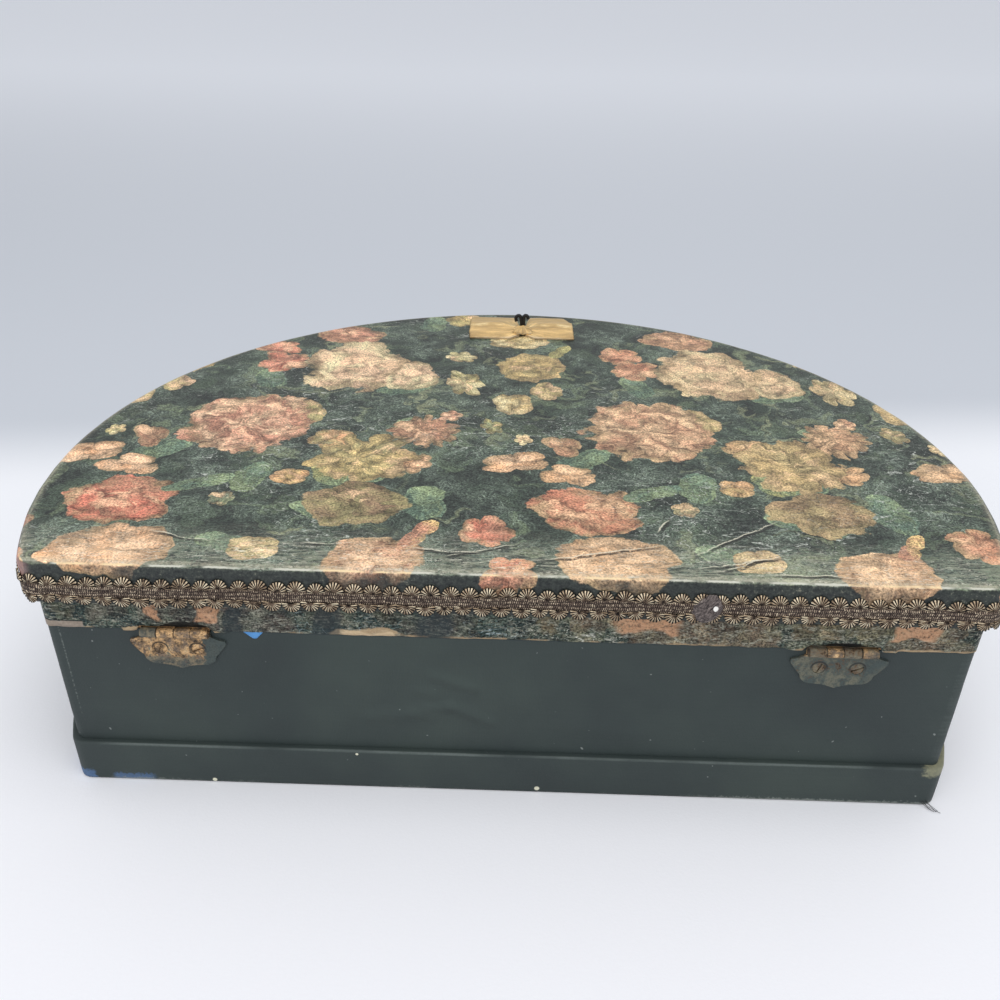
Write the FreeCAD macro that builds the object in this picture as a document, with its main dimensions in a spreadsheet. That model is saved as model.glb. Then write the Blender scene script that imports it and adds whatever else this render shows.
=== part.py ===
import FreeCAD, Part
import math
import os
import Sketcher

# Half-moon storage box: a papered lid on a cloth-covered base, hinged along the flat back.
#
# Lengths are in millimetres. The bow of the outline is a circle about the origin, which
# lies on the surface that the box stands on. The flat back faces +Y, and Z is up.
# Left and right are as seen from behind, where the hinges are, so left is +X.

SIZES = {
    # Outline of the cloth-covered walls
    "bow_radius": 164.3,
    "back_offset": 67.0,
    "corner_radius": 3.0,
    # Heights above the standing surface
    "plinth_height": 17.0,
    "joint_height": 67.0,
    "band_height": 12.5,
    "slab_thickness": 14.6,
    # Boards of the base
    "floor_thickness": 5.0,
    "back_thickness": 6.0,
    "bow_thickness": 4.0,
    "plinth_thickness": 1.7,
    # Coverings
    "cloth_thickness": 0.4,
    "paper_thickness": 0.4,
    "lining_thickness": 0.4,
    "glue_line": 0.05,
    "bottom_paper_margin": 3.0,
    # Lid slab and its trim
    "slab_overhang": 3.3,
    "slab_edge_bevel": 1.9,
    "braid_height": 11.4,
    "braid_thickness": 0.9,
    "braid_drop": 0.7,
    "braid_end_inset": 90.5,
    "braid_end_width": 7.0,
    "braid_end_thickness": 0.6,
    "braid_knot_radius": 1.5,
    "braid_knot_rise": 0.9,
    # Hinges
    "hinge_inset": 43.5,
    "leaf_width": 31.0,
    "leaf_drop": 15.5,
    "leaf_thickness": 0.8,
    "lid_leaf_margin": 1.2,
    "knuckle_radius": 1.65,
    "knuckle_length": 5.35,
    "knuckle_gap": 0.15,
    "barrel_gap": 0.2,
    "pin_radius": 0.8,
    "pin_clearance": 0.05,
    "pin_end": 0.35,
    "barrel_notch_gap": 0.6,
    "leaf_cover_gap": 0.3,
    "leaf_cover_border": 1.0,
    # Hinge screws
    "screw_spacing": 12.4,
    "screw_drop": 7.4,
    "screw_head_radius": 2.1,
    "screw_head_depth": 0.55,
    "screw_shank_radius": 1.0,
    "screw_length": 5.5,
    "screw_slot_width": 0.6,
    "screw_slot_depth": 0.45,
    "screw_hole_gap": 0.1,
    # Ribbon bow and wire on the lid
    "bow_front_gap": 7.0,
    "bow_depth": 29.0,
    "left_loop_length": 24.0,
    "right_loop_length": 27.5,
    "loop_thickness": 2.6,
    "loop_edge_bevel": 0.7,
    "loop_corner_radius": 1.8,
    "knot_width": 11.0,
    "knot_depth": 9.0,
    "knot_thickness": 3.6,
    "knot_edge_bevel": 0.9,
    "ribbon_gap": 0.3,
    "wire_radius": 0.55,
    "wire_height": 4.6,
    "wire_bend_radius": 1.5,
    "wire_tip_length": 1.6,
    "wire_place": 3.0,
}

# Which knuckles, counted from the outer end of a barrel, belong to which leaf
# The smallest round forms, such as screws and their holes, have this many flat sides
ROUND_SIDES = 12

KNUCKLE_COUNT = 4
BASE_KNUCKLES = (0, 2)
LID_KNUCKLES = (1, 3)

# Half outline of the ornamental leaf, from the barrel to the point at its foot: shares of half
# the leaf's width and of its drop. Each entry ends a line, or an arc with the given radius share
# of the drop. Positive radii bulge outwards.
LEAF_SHARES = (
    (0.72, 0.14, None),
    (1.0, 0.25, -0.55),
    (0.97, 0.4, 0.12),
    (0.77, 0.66, 1.8),
    (0.75, 0.75, None),
    (0.54, 0.89, 0.28),
    (0.2, 0.93, -1.6),
)
LID_SCREW_SHARE = 0.52

# Half outline of the paper stretched over a lid leaf: shares of half its width and of its height
COVER_SHARES = ((1.0, 0.45), (0.8, 0.84), (0.3, 1.0))

# Outlines of the two ribbon loops: shares of the way from the knot to the loop's fold, and of
# half the bow's depth
LEFT_LOOP_SHARES = (
    (0.0, 0.2), (0.1, 0.86), (0.98, 1.0), (1.0, -0.05), (0.9, -0.92), (0.0, -0.5),
)
RIGHT_LOOP_SHARES = (
    (0.0, 0.3), (0.08, 0.94), (0.88, 1.0), (1.0, -0.28), (0.9, -0.85), (0.0, -0.55),
)
KNOT_PLACE_SHARE = 0.2
FOLD_END_SHARE = 0.6
OCTAGON_SHARE = math.sqrt(2) - 1
SCREW_TURNS = (25.0, 70.0, 110.0, 160.0)
SAME_PLACE = 1e-6

doc = FreeCAD.newDocument("StorageBox")
sheet = doc.addObject("Spreadsheet::Sheet", "Sizes")
for row, (alias, value) in enumerate(SIZES.items(), start=1):
    sheet.set(f"A{row}", alias)
    sheet.set(f"B{row}", str(value))
    sheet.setAlias(f"B{row}", alias)
doc.recompute()

pieces = {}


def size(alias):
    """The expression that reads one driving size."""
    return f"Sizes.{alias}"


def number(expression):
    """The value of an expression at the present sizes."""
    return float(sheet.evalExpression(expression))


def keep(label, obj):
    """Name an object as a finished piece of the box."""
    obj.Label = label
    pieces[label] = obj
    return obj


# Derived sizes, as expressions

BOTTOM = size("paper_thickness")
FLOOR_TOP = f"({BOTTOM} + {size('floor_thickness')})"
JOINT = size("joint_height")
WALL_TOP = f"({JOINT} - {size('lining_thickness')})"
RAIL_BOTTOM = f"({JOINT} + {size('paper_thickness')})"
SLAB_BOTTOM = f"({JOINT} + {size('band_height')})"
SLAB_TOP = f"({SLAB_BOTTOM} + {size('slab_thickness')})"
LID_TOP = f"({SLAB_TOP} + {size('paper_thickness')})"
BACK = size("back_offset")
AXIS_Y = f"({BACK} + {size('knuckle_radius')} + {size('barrel_gap')})"
LEAF_FACE = f"({BACK} + {size('leaf_thickness')})"
SLAB_PAPER = f"({size('slab_overhang')} + {size('paper_thickness')})"
BRAID_OUT = f"({SLAB_PAPER} + {size('braid_thickness')})"
BRAID_BOTTOM = f"({SLAB_BOTTOM} - {size('braid_drop')})"
PLINTH_CLOTH = f"({size('plinth_thickness')} + {size('cloth_thickness')})"
BARREL_LENGTH = (f"({KNUCKLE_COUNT} * {size('knuckle_length')}"
                 f" + {KNUCKLE_COUNT - 1} * {size('knuckle_gap')})")
KNUCKLE_PITCH = f"({size('knuckle_length')} + {size('knuckle_gap')})"
BARREL_RELIEF = f"({size('knuckle_radius')} + {size('barrel_gap')} / 2)"
LID_LEAF_RISE = f"({size('band_height')} - {size('lid_leaf_margin')})"
LID_SCREW_RISE = f"({LID_LEAF_RISE} * {LID_SCREW_SHARE})"
COVER_FACE = f"({LEAF_FACE} + {size('screw_hole_gap')})"
BOW_MIDDLE = f"(0 - {size('bow_radius')} + {size('bow_front_gap')} + {size('bow_depth')} / 2)"
KNOT_Y = f"({BOW_MIDDLE} + {size('bow_depth')} * {KNOT_PLACE_SHARE})"


# Sketches and features

def origin_plane(body, role):
    return next(item for item in body.Origin.OriginFeatures if item.Role == role)


def new_body(name):
    return doc.addObject("PartDesign::Body", name)


def new_sketch(body, role, offset="0"):
    """A sketch on one of the body's own planes, moved along that plane's normal."""
    sketch = body.newObject("Sketcher::SketchObject", f"{body.Name}_sketch")
    sketch.AttachmentSupport = [(origin_plane(body, role), "")]
    sketch.MapMode = "FlatFace"
    sketch.setExpression(".AttachmentOffset.Base.z", offset)
    return sketch


def place_point(sketch, geometry, point, place):
    """Bind one end point of a sketch's line or arc to a place given as two expressions."""
    for kind, axis, expression in (("DistanceX", -2, place[0]), ("DistanceY", -1, place[1])):
        if expression == "0":
            sketch.addConstraint(Sketcher.Constraint("PointOnObject", geometry, point, axis))
            continue
        index = sketch.addConstraint(
            Sketcher.Constraint(kind, -1, 1, geometry, point, number(expression)))
        sketch.setExpression(f"Constraints[{index}]", expression)


def draw_loop(sketch, loop):
    """Draw a closed loop. Each step is (start, arc), where arc is None for a straight side,
    or (centre, radius, turn) with turn 1 anticlockwise and -1 clockwise."""
    count = len(loop)
    starts = []
    for index, (start, arc) in enumerate(loop):
        end = loop[(index + 1) % count][0]
        first = FreeCAD.Vector(number(start[0]), number(start[1]), 0)
        last = FreeCAD.Vector(number(end[0]), number(end[1]), 0)
        if arc is None:
            geometry = sketch.addGeometry(Part.LineSegment(first, last))
            starts.append((geometry, 1, 2))
            continue
        centre, radius, turn = arc
        middle = FreeCAD.Vector(number(centre[0]), number(centre[1]), 0)
        circle = Part.Circle(middle, FreeCAD.Vector(0, 0, 1), number(radius))
        opening = math.atan2(first.y - middle.y, first.x - middle.x)
        closing = math.atan2(last.y - middle.y, last.x - middle.x)
        if turn < 0:
            opening, closing = closing, opening
        while closing <= opening:
            closing += 2 * math.pi
        geometry = sketch.addGeometry(Part.ArcOfCircle(circle, opening, closing))
        starts.append((geometry, 1, 2) if turn > 0 else (geometry, 2, 1))
        index_radius = sketch.addConstraint(
            Sketcher.Constraint("Radius", geometry, number(radius)))
        sketch.setExpression(f"Constraints[{index_radius}]", radius)
    for index, (geometry, begin, finish) in enumerate(starts):
        following, next_begin, _ = starts[(index + 1) % count]
        sketch.addConstraint(
            Sketcher.Constraint("Coincident", geometry, finish, following, next_begin))
        place_point(sketch, geometry, begin, loop[index][0])


def draw_line(sketch, places):
    """Draw an open line through places."""
    spots = [FreeCAD.Vector(number(place[0]), number(place[1]), 0) for place in places]
    runs = [sketch.addGeometry(Part.LineSegment(start, end))
            for start, end in zip(spots, spots[1:])]
    for index, run in enumerate(runs):
        place_point(sketch, run, 1, places[index])
        if index:
            sketch.addConstraint(Sketcher.Constraint("Coincident", runs[index - 1], 2, run, 1))
    place_point(sketch, runs[-1], 2, places[-1])


def round_loop(place, radius):
    """The many-sided outline of a small round form."""
    turns = [2 * math.pi * step / ROUND_SIDES for step in range(ROUND_SIDES)]
    return [((f"({place[0]} + {radius} * ({math.cos(turn):.6f}))",
              f"({place[1]} + {radius} * ({math.sin(turn):.6f}))"), None) for turn in turns]


def draw_circle(sketch, place, radius):
    centre = FreeCAD.Vector(number(place[0]), number(place[1]), 0)
    circle = Part.Circle(centre, FreeCAD.Vector(0, 0, 1), number(radius))
    geometry = sketch.addGeometry(circle)
    index = sketch.addConstraint(Sketcher.Constraint("Radius", geometry, number(radius)))
    sketch.setExpression(f"Constraints[{index}]", radius)
    place_point(sketch, geometry, 3, place)


def raise_pad(body, sketch, length, reverse=False):
    pad = body.newObject("PartDesign::Pad", f"{body.Name}_pad")
    pad.Profile = sketch
    pad.setExpression("Length", length)
    pad.Reversed = reverse
    body.Tip = pad
    doc.recompute()
    return pad


def cut_pocket(body, sketch, length, reverse=False, through=False):
    """Cut a pocket, and check that it took material away."""
    before = body.Tip.Shape.Volume
    pocket = body.newObject("PartDesign::Pocket", f"{body.Name}_pocket")
    pocket.Profile = sketch
    if through:
        pocket.Type = "ThroughAll"
        pocket.Midplane = True
    else:
        pocket.setExpression("Length", length)
    pocket.Reversed = reverse
    body.Tip = pocket
    doc.recompute()
    if not pocket.Shape.Volume < before:
        raise RuntimeError(f"{pocket.Name} cuts nothing")
    return pocket


def dress_edges(body, kind, names, setting, amount):
    """Add a fillet or a chamfer on named edges of the body's present shape."""
    solid = body.Tip
    dressing = body.newObject(f"PartDesign::{kind}", f"{body.Name}_{kind.lower()}")
    dressing.Base = (solid, names)
    dressing.setExpression(setting, amount)
    body.Tip = dressing
    doc.recompute()
    return dressing


def round_edges(body, names, radius):
    return dress_edges(body, "Fillet", names, "Radius", radius)


def bevel_edges(body, names, width):
    return dress_edges(body, "Chamfer", names, "Size", width)


def edges_where(shape, test):
    """Names of the edges that pass a test."""
    return [f"Edge{order}" for order, edge in enumerate(shape.Edges, start=1) if test(edge)]


def same(first, second):
    return math.isclose(first, second, abs_tol=SAME_PLACE)


def level_edges(shape, height):
    """Names of the edges that lie at one height."""
    return edges_where(shape, lambda edge: all(
        same(vertex.Point.z, height) for vertex in edge.Vertexes))


def is_upright(edge):
    first, last = edge.Vertexes[0].Point, edge.Vertexes[-1].Point
    return same(first.x, last.x) and same(first.y, last.y) and not same(first.z, last.z)


def mirror_image(name, source):
    """The same shape on the other side of the box."""
    twin = doc.addObject("Part::Mirroring", name)
    twin.Source = source
    twin.Base = FreeCAD.Vector(0, 0, 0)
    twin.Normal = FreeCAD.Vector(1, 0, 0)
    return twin


# Outlines of the half-moon plan. An outline grown by an offset keeps its corner centres.

CORNER_Y = f"({BACK} - {size('corner_radius')})"
CORNER_X = (f"sqrt(({size('bow_radius')} - {size('corner_radius')})^2"
            f" - ({BACK} - {size('corner_radius')})^2)")
CENTRE = ("0", "0")
END_X = f"({CORNER_X} + {size('corner_radius')})"
HINGE_X = f"({END_X} - {size('hinge_inset')})"


def minus(expression):
    return "0" if expression == "0" else f"(0 - {expression})"


def grown_radius(offset):
    return f"({size('bow_radius')} + {offset})"


def grown_back(offset):
    return f"({BACK} + {offset})"


def corner_points(offset, side):
    """Where the corner arc meets the back and the bow, on the side given by 1 or -1."""
    share = f"({grown_radius(offset)} / ({size('bow_radius')} - {size('corner_radius')}))"
    flip = (lambda expression: expression) if side > 0 else minus
    back_end = (flip(CORNER_X), grown_back(offset))
    bow_end = (flip(f"({CORNER_X} * {share})"), f"({CORNER_Y} * {share})")
    return back_end, bow_end


def corner_arc(offset, side, turn=1):
    centre = (CORNER_X if side > 0 else minus(CORNER_X), CORNER_Y)
    return (centre, f"({size('corner_radius')} + {offset})", turn)


def moon_loop(offset):
    """The whole outline: flat back, rounded back corners and bow."""
    right_back, right_bow = corner_points(offset, 1)
    left_back, left_bow = corner_points(offset, -1)
    return [
        (right_back, None),
        (left_back, corner_arc(offset, -1)),
        (left_bow, (CENTRE, grown_radius(offset), 1)),
        (right_bow, corner_arc(offset, 1)),
    ]


def chord_half(radius, level):
    """Half the width of a circle about the origin at one Y."""
    return f"sqrt({radius}^2 - {level}^2)"


def segment_loop(radius, level):
    """A bow closed by a straight line, with sharp corners."""
    half = chord_half(radius, level)
    return [
        ((half, level), None),
        ((minus(half), level), (CENTRE, radius, 1)),
    ]


def bow_strip_loop(outer, inner, level):
    """A strip that follows the bow and stops at one Y."""
    far = chord_half(outer, level)
    near = chord_half(inner, level)
    return [
        ((minus(far), level), (CENTRE, outer, 1)),
        ((far, level), None),
        ((near, level), (CENTRE, inner, -1)),
        ((minus(near), level), None),
    ]


def back_board_loop(offset, level):
    """The part of the outline behind one Y."""
    radius = grown_radius(offset)
    half = chord_half(radius, level)
    right_back, right_bow = corner_points(offset, 1)
    left_back, left_bow = corner_points(offset, -1)
    return [
        (right_back, None),
        (left_back, corner_arc(offset, -1)),
        (left_bow, (CENTRE, radius, 1)),
        ((minus(half), level), None),
        ((half, level), (CENTRE, radius, 1)),
        (right_bow, corner_arc(offset, 1)),
    ]


def wrap_loop(outer, inner):
    """A strip round the bow and both corners, open along the flat back."""
    right_back, right_bow = corner_points(outer, 1)
    left_back, left_bow = corner_points(outer, -1)
    right_back_in, right_bow_in = corner_points(inner, 1)
    left_back_in, left_bow_in = corner_points(inner, -1)
    return [
        (left_back, corner_arc(outer, -1)),
        (left_bow, (CENTRE, grown_radius(outer), 1)),
        (right_bow, corner_arc(outer, 1)),
        (right_back, None),
        (right_back_in, corner_arc(inner, 1, -1)),
        (right_bow_in, (CENTRE, grown_radius(inner), -1)),
        (left_bow_in, corner_arc(inner, -1, -1)),
        (left_back_in, None),
    ]


def box_loop(low, high):
    """A rectangle between two opposite corners."""
    return [
        ((low[0], low[1]), None),
        ((high[0], low[1]), None),
        ((high[0], high[1]), None),
        ((low[0], high[1]), None),
    ]


def slab(label, loops, bottom, top):
    """A piece of one height whose plan is one or more loops."""
    body = new_body(label)
    sketch = new_sketch(body, "XY_Plane", bottom)
    for loop in loops:
        draw_loop(sketch, loop)
    raise_pad(body, sketch, f"{top} - {bottom}")
    return body


def hinge_holes(body, height, start, depth):
    """Pilot holes for the hinge screws, from one Y into the board."""
    sketch = new_sketch(body, "XZ_Plane", minus(start))
    radius = f"({size('screw_shank_radius')} + {size('screw_hole_gap')})"
    for side in (1, -1):
        for step in (1, -1):
            place = f"({side} * ({HINGE_X} + {step} * {size('screw_spacing')} / 2))"
            draw_loop(sketch, round_loop((place, height), radius))
    cut_pocket(body, sketch, depth, reverse=True)


# Base

INNER_BACK = f"({BACK} - {size('cloth_thickness')} - {size('back_thickness')})"
INNER_RADIUS = f"({size('bow_radius')} - {size('cloth_thickness')} - {size('bow_thickness')})"
SHELL = minus(size("cloth_thickness"))
BASE_SCREW_HEIGHT = f"({JOINT} - {size('screw_drop')})"
LID_SCREW_HEIGHT = f"({JOINT} + {LID_SCREW_RISE})"


def base_boards():
    keep("bottom_paper", slab(
        "bottom_paper", [moon_loop(f"({PLINTH_CLOTH} - {size('bottom_paper_margin')})")],
        "0", BOTTOM))
    keep("bottom_board", slab("bottom_board", [moon_loop(SHELL)], BOTTOM, FLOOR_TOP))
    back = slab("back_wall", [back_board_loop(SHELL, INNER_BACK)], FLOOR_TOP, WALL_TOP)
    depth = f"({size('screw_length')} - {size('cloth_thickness')})"
    hinge_holes(back, BASE_SCREW_HEIGHT, f"({BACK} - {size('cloth_thickness')})", depth)
    keep("back_wall", back)
    outer = f"({grown_radius(SHELL)} - {size('glue_line')})"
    keep("curved_wall", slab(
        "curved_wall", [bow_strip_loop(outer, INNER_RADIUS, INNER_BACK)], FLOOR_TOP, WALL_TOP))


def plinth():
    thickness = size("plinth_thickness")
    top = size("plinth_height")
    back = slab("plinth_back_strip", [box_loop((minus(CORNER_X), BACK),
                                               (CORNER_X, grown_back(thickness)))], BOTTOM, top)
    keep("plinth_back_strip", back)
    keep("plinth_curved_strip", slab(
        "plinth_curved_strip", [wrap_loop(thickness, "0")], BOTTOM, top))
    cloth = slab("plinth_cloth", [moon_loop(PLINTH_CLOTH), moon_loop(thickness)], BOTTOM, top)
    turned = new_sketch(cloth, "XY_Plane", top)
    draw_loop(turned, moon_loop(PLINTH_CLOTH))
    draw_loop(turned, moon_loop("0"))
    raise_pad(cloth, turned, size("cloth_thickness"))
    keep("plinth_cloth", cloth)


def base_coverings():
    cloth = slab("wall_cloth", [moon_loop("0"), moon_loop(SHELL)], BOTTOM, WALL_TOP)
    hinge_holes(cloth, BASE_SCREW_HEIGHT, BACK, size("cloth_thickness"))
    keep("wall_cloth", cloth)
    lining_top = f"({FLOOR_TOP} + {size('lining_thickness')})"
    keep("floor_lining", slab(
        "floor_lining", [segment_loop(INNER_RADIUS, INNER_BACK)], FLOOR_TOP, lining_top))
    inner = segment_loop(f"({INNER_RADIUS} - {size('lining_thickness')})",
                         f"({INNER_BACK} - {size('lining_thickness')})")
    lining = slab("wall_lining", [segment_loop(INNER_RADIUS, INNER_BACK), inner],
                  lining_top, WALL_TOP)
    turned = new_sketch(lining, "XY_Plane", WALL_TOP)
    draw_loop(turned, moon_loop("0"))
    draw_loop(turned, inner)
    raise_pad(lining, turned, size("lining_thickness"))
    keep("wall_lining", lining)


# Lid

LID_INNER_BACK = f"({BACK} - {size('back_thickness')})"
LID_INNER_RADIUS = f"({size('bow_radius')} - {size('bow_thickness')})"


def lid_boards():
    board = slab("lid_board", [moon_loop(size("slab_overhang"))], SLAB_BOTTOM, SLAB_TOP)
    bevel_edges(board, level_edges(board.Tip.Shape, number(SLAB_TOP)), size("slab_edge_bevel"))
    keep("lid_board", board)
    back = slab("lid_back_rail", [back_board_loop("0", LID_INNER_BACK)], RAIL_BOTTOM, SLAB_BOTTOM)
    hinge_holes(back, LID_SCREW_HEIGHT, BACK, size("screw_length"))
    keep("lid_back_rail", back)
    outer = f"({size('bow_radius')} - {size('glue_line')})"
    keep("lid_curved_rail", slab(
        "lid_curved_rail", [bow_strip_loop(outer, LID_INNER_RADIUS, LID_INNER_BACK)],
        RAIL_BOTTOM, SLAB_BOTTOM))
    return board


def lid_top_covering(board):
    block = slab("lid_top_paper_block", [moon_loop(SLAB_PAPER)], SLAB_BOTTOM, LID_TOP)
    bevel_edges(block, level_edges(block.Tip.Shape, number(LID_TOP)),
                f"{size('slab_edge_bevel')} + {size('paper_thickness')}")
    paper = doc.addObject("Part::Cut", "lid_top_paper")
    paper.Base = block
    paper.Tool = board
    keep("lid_top_paper", paper)


def lid_linings():
    thickness = size("lining_thickness")
    ceiling = f"({SLAB_BOTTOM} - {thickness})"
    outline = segment_loop(LID_INNER_RADIUS, LID_INNER_BACK)
    keep("lid_top_lining", slab("lid_top_lining", [outline], ceiling, SLAB_BOTTOM))
    inner = segment_loop(f"({LID_INNER_RADIUS} - {thickness})", f"({LID_INNER_BACK} - {thickness})")
    keep("lid_rim_lining", slab("lid_rim_lining", [outline, inner], JOINT, ceiling))


def braid():
    top = f"({BRAID_BOTTOM} + {size('braid_height')})"
    keep("gimp_braid", slab("gimp_braid", [moon_loop(BRAID_OUT), moon_loop(SLAB_PAPER)],
                            BRAID_BOTTOM, top))
    inner = f"({size('braid_end_inset')} - {END_X})"
    outer = f"({inner} + {size('braid_end_width')})"
    end = new_body("braid_end")
    band = new_sketch(end, "XZ_Plane", minus(grown_back(BRAID_OUT)))
    draw_loop(band, box_loop((inner, BRAID_BOTTOM), (outer, top)))
    raise_pad(end, band, size("braid_end_thickness"), reverse=True)
    knot = new_sketch(end, "XZ_Plane",
                      minus(f"({grown_back(BRAID_OUT)} + {size('braid_end_thickness')})"))
    middle = (f"({inner} + {size('braid_end_width')} / 2)",
              f"({BRAID_BOTTOM} + {size('braid_height')} / 2)")
    draw_loop(knot, round_loop(middle, size("braid_knot_radius")))
    raise_pad(end, knot, size("braid_knot_rise"), reverse=True)
    keep("braid_end", end)


# Hinges. The left hinge is drawn, and the right one is its mirror image.

def leaf_loop(rise, direction):
    """The ornamental outline of a leaf, hanging below the pin or standing above it."""
    half = f"({size('leaf_width')} / 2)"

    def spot(across, down, side):
        return (f"({HINGE_X} + {side} * {half} * {across})",
                f"({JOINT} + {direction} * {rise} * {down})")

    def arc(begin, finish, radius_share):
        """The arc between two spots; a positive share bulges away from the leaf's middle."""
        radius = f"(abs({radius_share}) * {rise})"
        start = FreeCAD.Vector(number(begin[0]), number(begin[1]), 0)
        end = FreeCAD.Vector(number(finish[0]), number(finish[1]), 0)
        chord = end - start
        lift = math.sqrt(max(number(radius) ** 2 - chord.Length ** 2 / 4, 0))
        normal = FreeCAD.Vector(-chord.y, chord.x, 0).normalize()
        halfway = (start + end) / 2
        inside = FreeCAD.Vector(number(HINGE_X), number(f"{JOINT} + {direction} * {rise} / 2"), 0)
        turn = 1 if (inside - halfway).dot(normal) * radius_share > 0 else -1
        centre = halfway + normal * lift * turn
        return ((repr(centre.x), repr(centre.y)), radius, turn)

    places = [(LEAF_SHARES[0][0], 0)] + [(across, down) for across, down, _ in LEAF_SHARES]
    right = [spot(across, down, 1) for across, down in places]
    left = [spot(across, down, -1) for across, down in places]
    foot = spot(0, 1, 1)
    loop = [(left[0], None)]
    for index, (_, _, share) in enumerate(LEAF_SHARES):
        step = None if share is None else arc(right[index], right[index + 1], share)
        loop.append((right[index], step))
    loop.append((right[-1], None))
    loop.append((foot, None))
    for index in range(len(LEAF_SHARES), 0, -1):
        share = LEAF_SHARES[index - 1][2]
        step = None if share is None else arc(left[index], left[index - 1], share)
        loop.append((left[index], step))
    return loop


def knuckle_start(index):
    """X of a knuckle's inner end, counted from the outer end of the barrel."""
    return (f"({HINGE_X} + {BARREL_LENGTH} / 2 - {index} * {KNUCKLE_PITCH}"
            f" - {size('knuckle_length')})")


def hinge_leaf(label, rise, direction, own, others, screw_height):
    body = new_body(label)
    plate = new_sketch(body, "XZ_Plane", minus(BACK))
    draw_loop(plate, leaf_loop(rise, direction))
    raise_pad(body, plate, size("leaf_thickness"), reverse=True)
    for index in others:
        near = f"({knuckle_start(index)} - {size('knuckle_gap')})"
        far = f"({knuckle_start(index)} + {KNUCKLE_PITCH})"
        notch = new_sketch(body, "XZ_Plane", minus(BACK))
        draw_loop(notch, box_loop((near, f"({JOINT} - {BARREL_RELIEF})"),
                                  (far, f"({JOINT} + {BARREL_RELIEF})")))
        cut_pocket(body, notch, size("leaf_thickness"))
    for index in own:
        knuckle = new_sketch(body, "YZ_Plane", knuckle_start(index))
        draw_circle(knuckle, (AXIS_Y, JOINT), size("knuckle_radius"))
        raise_pad(body, knuckle, size("knuckle_length"))
    bore = new_sketch(body, "YZ_Plane", HINGE_X)
    draw_circle(bore, (AXIS_Y, JOINT), f"{size('pin_radius')} + {size('pin_clearance')}")
    cut_pocket(body, bore, "0", through=True)
    gap = size("screw_hole_gap")
    for side in (1, -1):
        place = (f"({HINGE_X} + {side} * {size('screw_spacing')} / 2)", screw_height)
        for radius, depth in ((size("screw_head_radius"), size("screw_head_depth")),
                              (size("screw_shank_radius"), size("leaf_thickness"))):
            hole = new_sketch(body, "XZ_Plane", minus(LEAF_FACE))
            draw_loop(hole, round_loop(place, f"({radius} + {gap})"))
            cut_pocket(body, hole, depth, reverse=True)
    return keep(label, body)


def hinge_pin():
    body = new_body("left_hinge_pin")
    length = f"({BARREL_LENGTH} + 2 * {size('pin_end')})"
    shaft = body.newObject("PartDesign::AdditiveCylinder", "left_hinge_pin_shaft")
    shaft.setExpression("Radius", size("pin_radius"))
    shaft.setExpression("Height", length)
    shaft.Placement = FreeCAD.Placement(FreeCAD.Vector(), FreeCAD.Rotation(
        FreeCAD.Vector(0, 1, 0), 90))
    shaft.setExpression(".Placement.Base.x", f"{HINGE_X} - {length} / 2")
    shaft.setExpression(".Placement.Base.y", AXIS_Y)
    shaft.setExpression(".Placement.Base.z", JOINT)
    body.Tip = shaft
    doc.recompute()
    return keep("left_hinge_pin", body)


def screw(name, place, height, turn):
    """A slotted screw, drawn along +Z with the leaf's face at its origin, then laid along +Y."""
    body = new_body(name)
    head = size("screw_head_radius")
    shank = size("screw_shank_radius")
    depth = size("screw_head_depth")
    length = f"({size('screw_length')} + {size('leaf_thickness')} - {size('screw_hole_gap')})"
    for radius, top, reach in ((head, "0", depth), (shank, minus(depth), f"{length} - {depth}")):
        outline = new_sketch(body, "XY_Plane", top)
        draw_loop(outline, round_loop(CENTRE, radius))
        raise_pad(body, outline, reach, reverse=True)
    slot = new_sketch(body, "XY_Plane")
    half = f"({size('screw_slot_width')} / 2)"
    draw_loop(slot, box_loop((minus(f"(2 * {head})"), minus(half)), (f"(2 * {head})", half)))
    cut_pocket(body, slot, size("screw_slot_depth"))
    lay = FreeCAD.Rotation(FreeCAD.Vector(1, 0, 0), -90)
    spin = FreeCAD.Rotation(FreeCAD.Vector(0, 0, 1), turn)
    body.Placement = FreeCAD.Placement(FreeCAD.Vector(), lay.multiply(spin))
    body.setExpression(".Placement.Base.x", place)
    body.setExpression(".Placement.Base.y", LEAF_FACE)
    body.setExpression(".Placement.Base.z", height)
    return body


def screw_pair(label, height, turns):
    places = [f"{HINGE_X} + {side} * {size('screw_spacing')} / 2" for side in (1, -1)]
    pair = doc.addObject("Part::Compound", label)
    pair.Links = [screw(f"{label}_{index + 1}", place, height, turn)
                  for index, (place, turn) in enumerate(zip(places, turns))]
    return keep(label, pair)


def hinges():
    left = {
        "hinge_base_leaf": hinge_leaf("left_hinge_base_leaf", size("leaf_drop"), -1,
                                      BASE_KNUCKLES, LID_KNUCKLES, BASE_SCREW_HEIGHT),
        "hinge_lid_leaf": hinge_leaf("left_hinge_lid_leaf", LID_LEAF_RISE, 1,
                                     LID_KNUCKLES, BASE_KNUCKLES, LID_SCREW_HEIGHT),
        "hinge_pin": hinge_pin(),
        "hinge_base_screws": screw_pair("left_hinge_base_screws", BASE_SCREW_HEIGHT,
                                        SCREW_TURNS[:2]),
        "hinge_lid_screws": screw_pair("left_hinge_lid_screws", LID_SCREW_HEIGHT,
                                       SCREW_TURNS[2:]),
    }
    for name, source in left.items():
        label = f"right_{name}"
        keep(label, mirror_image(label, source))


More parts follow.
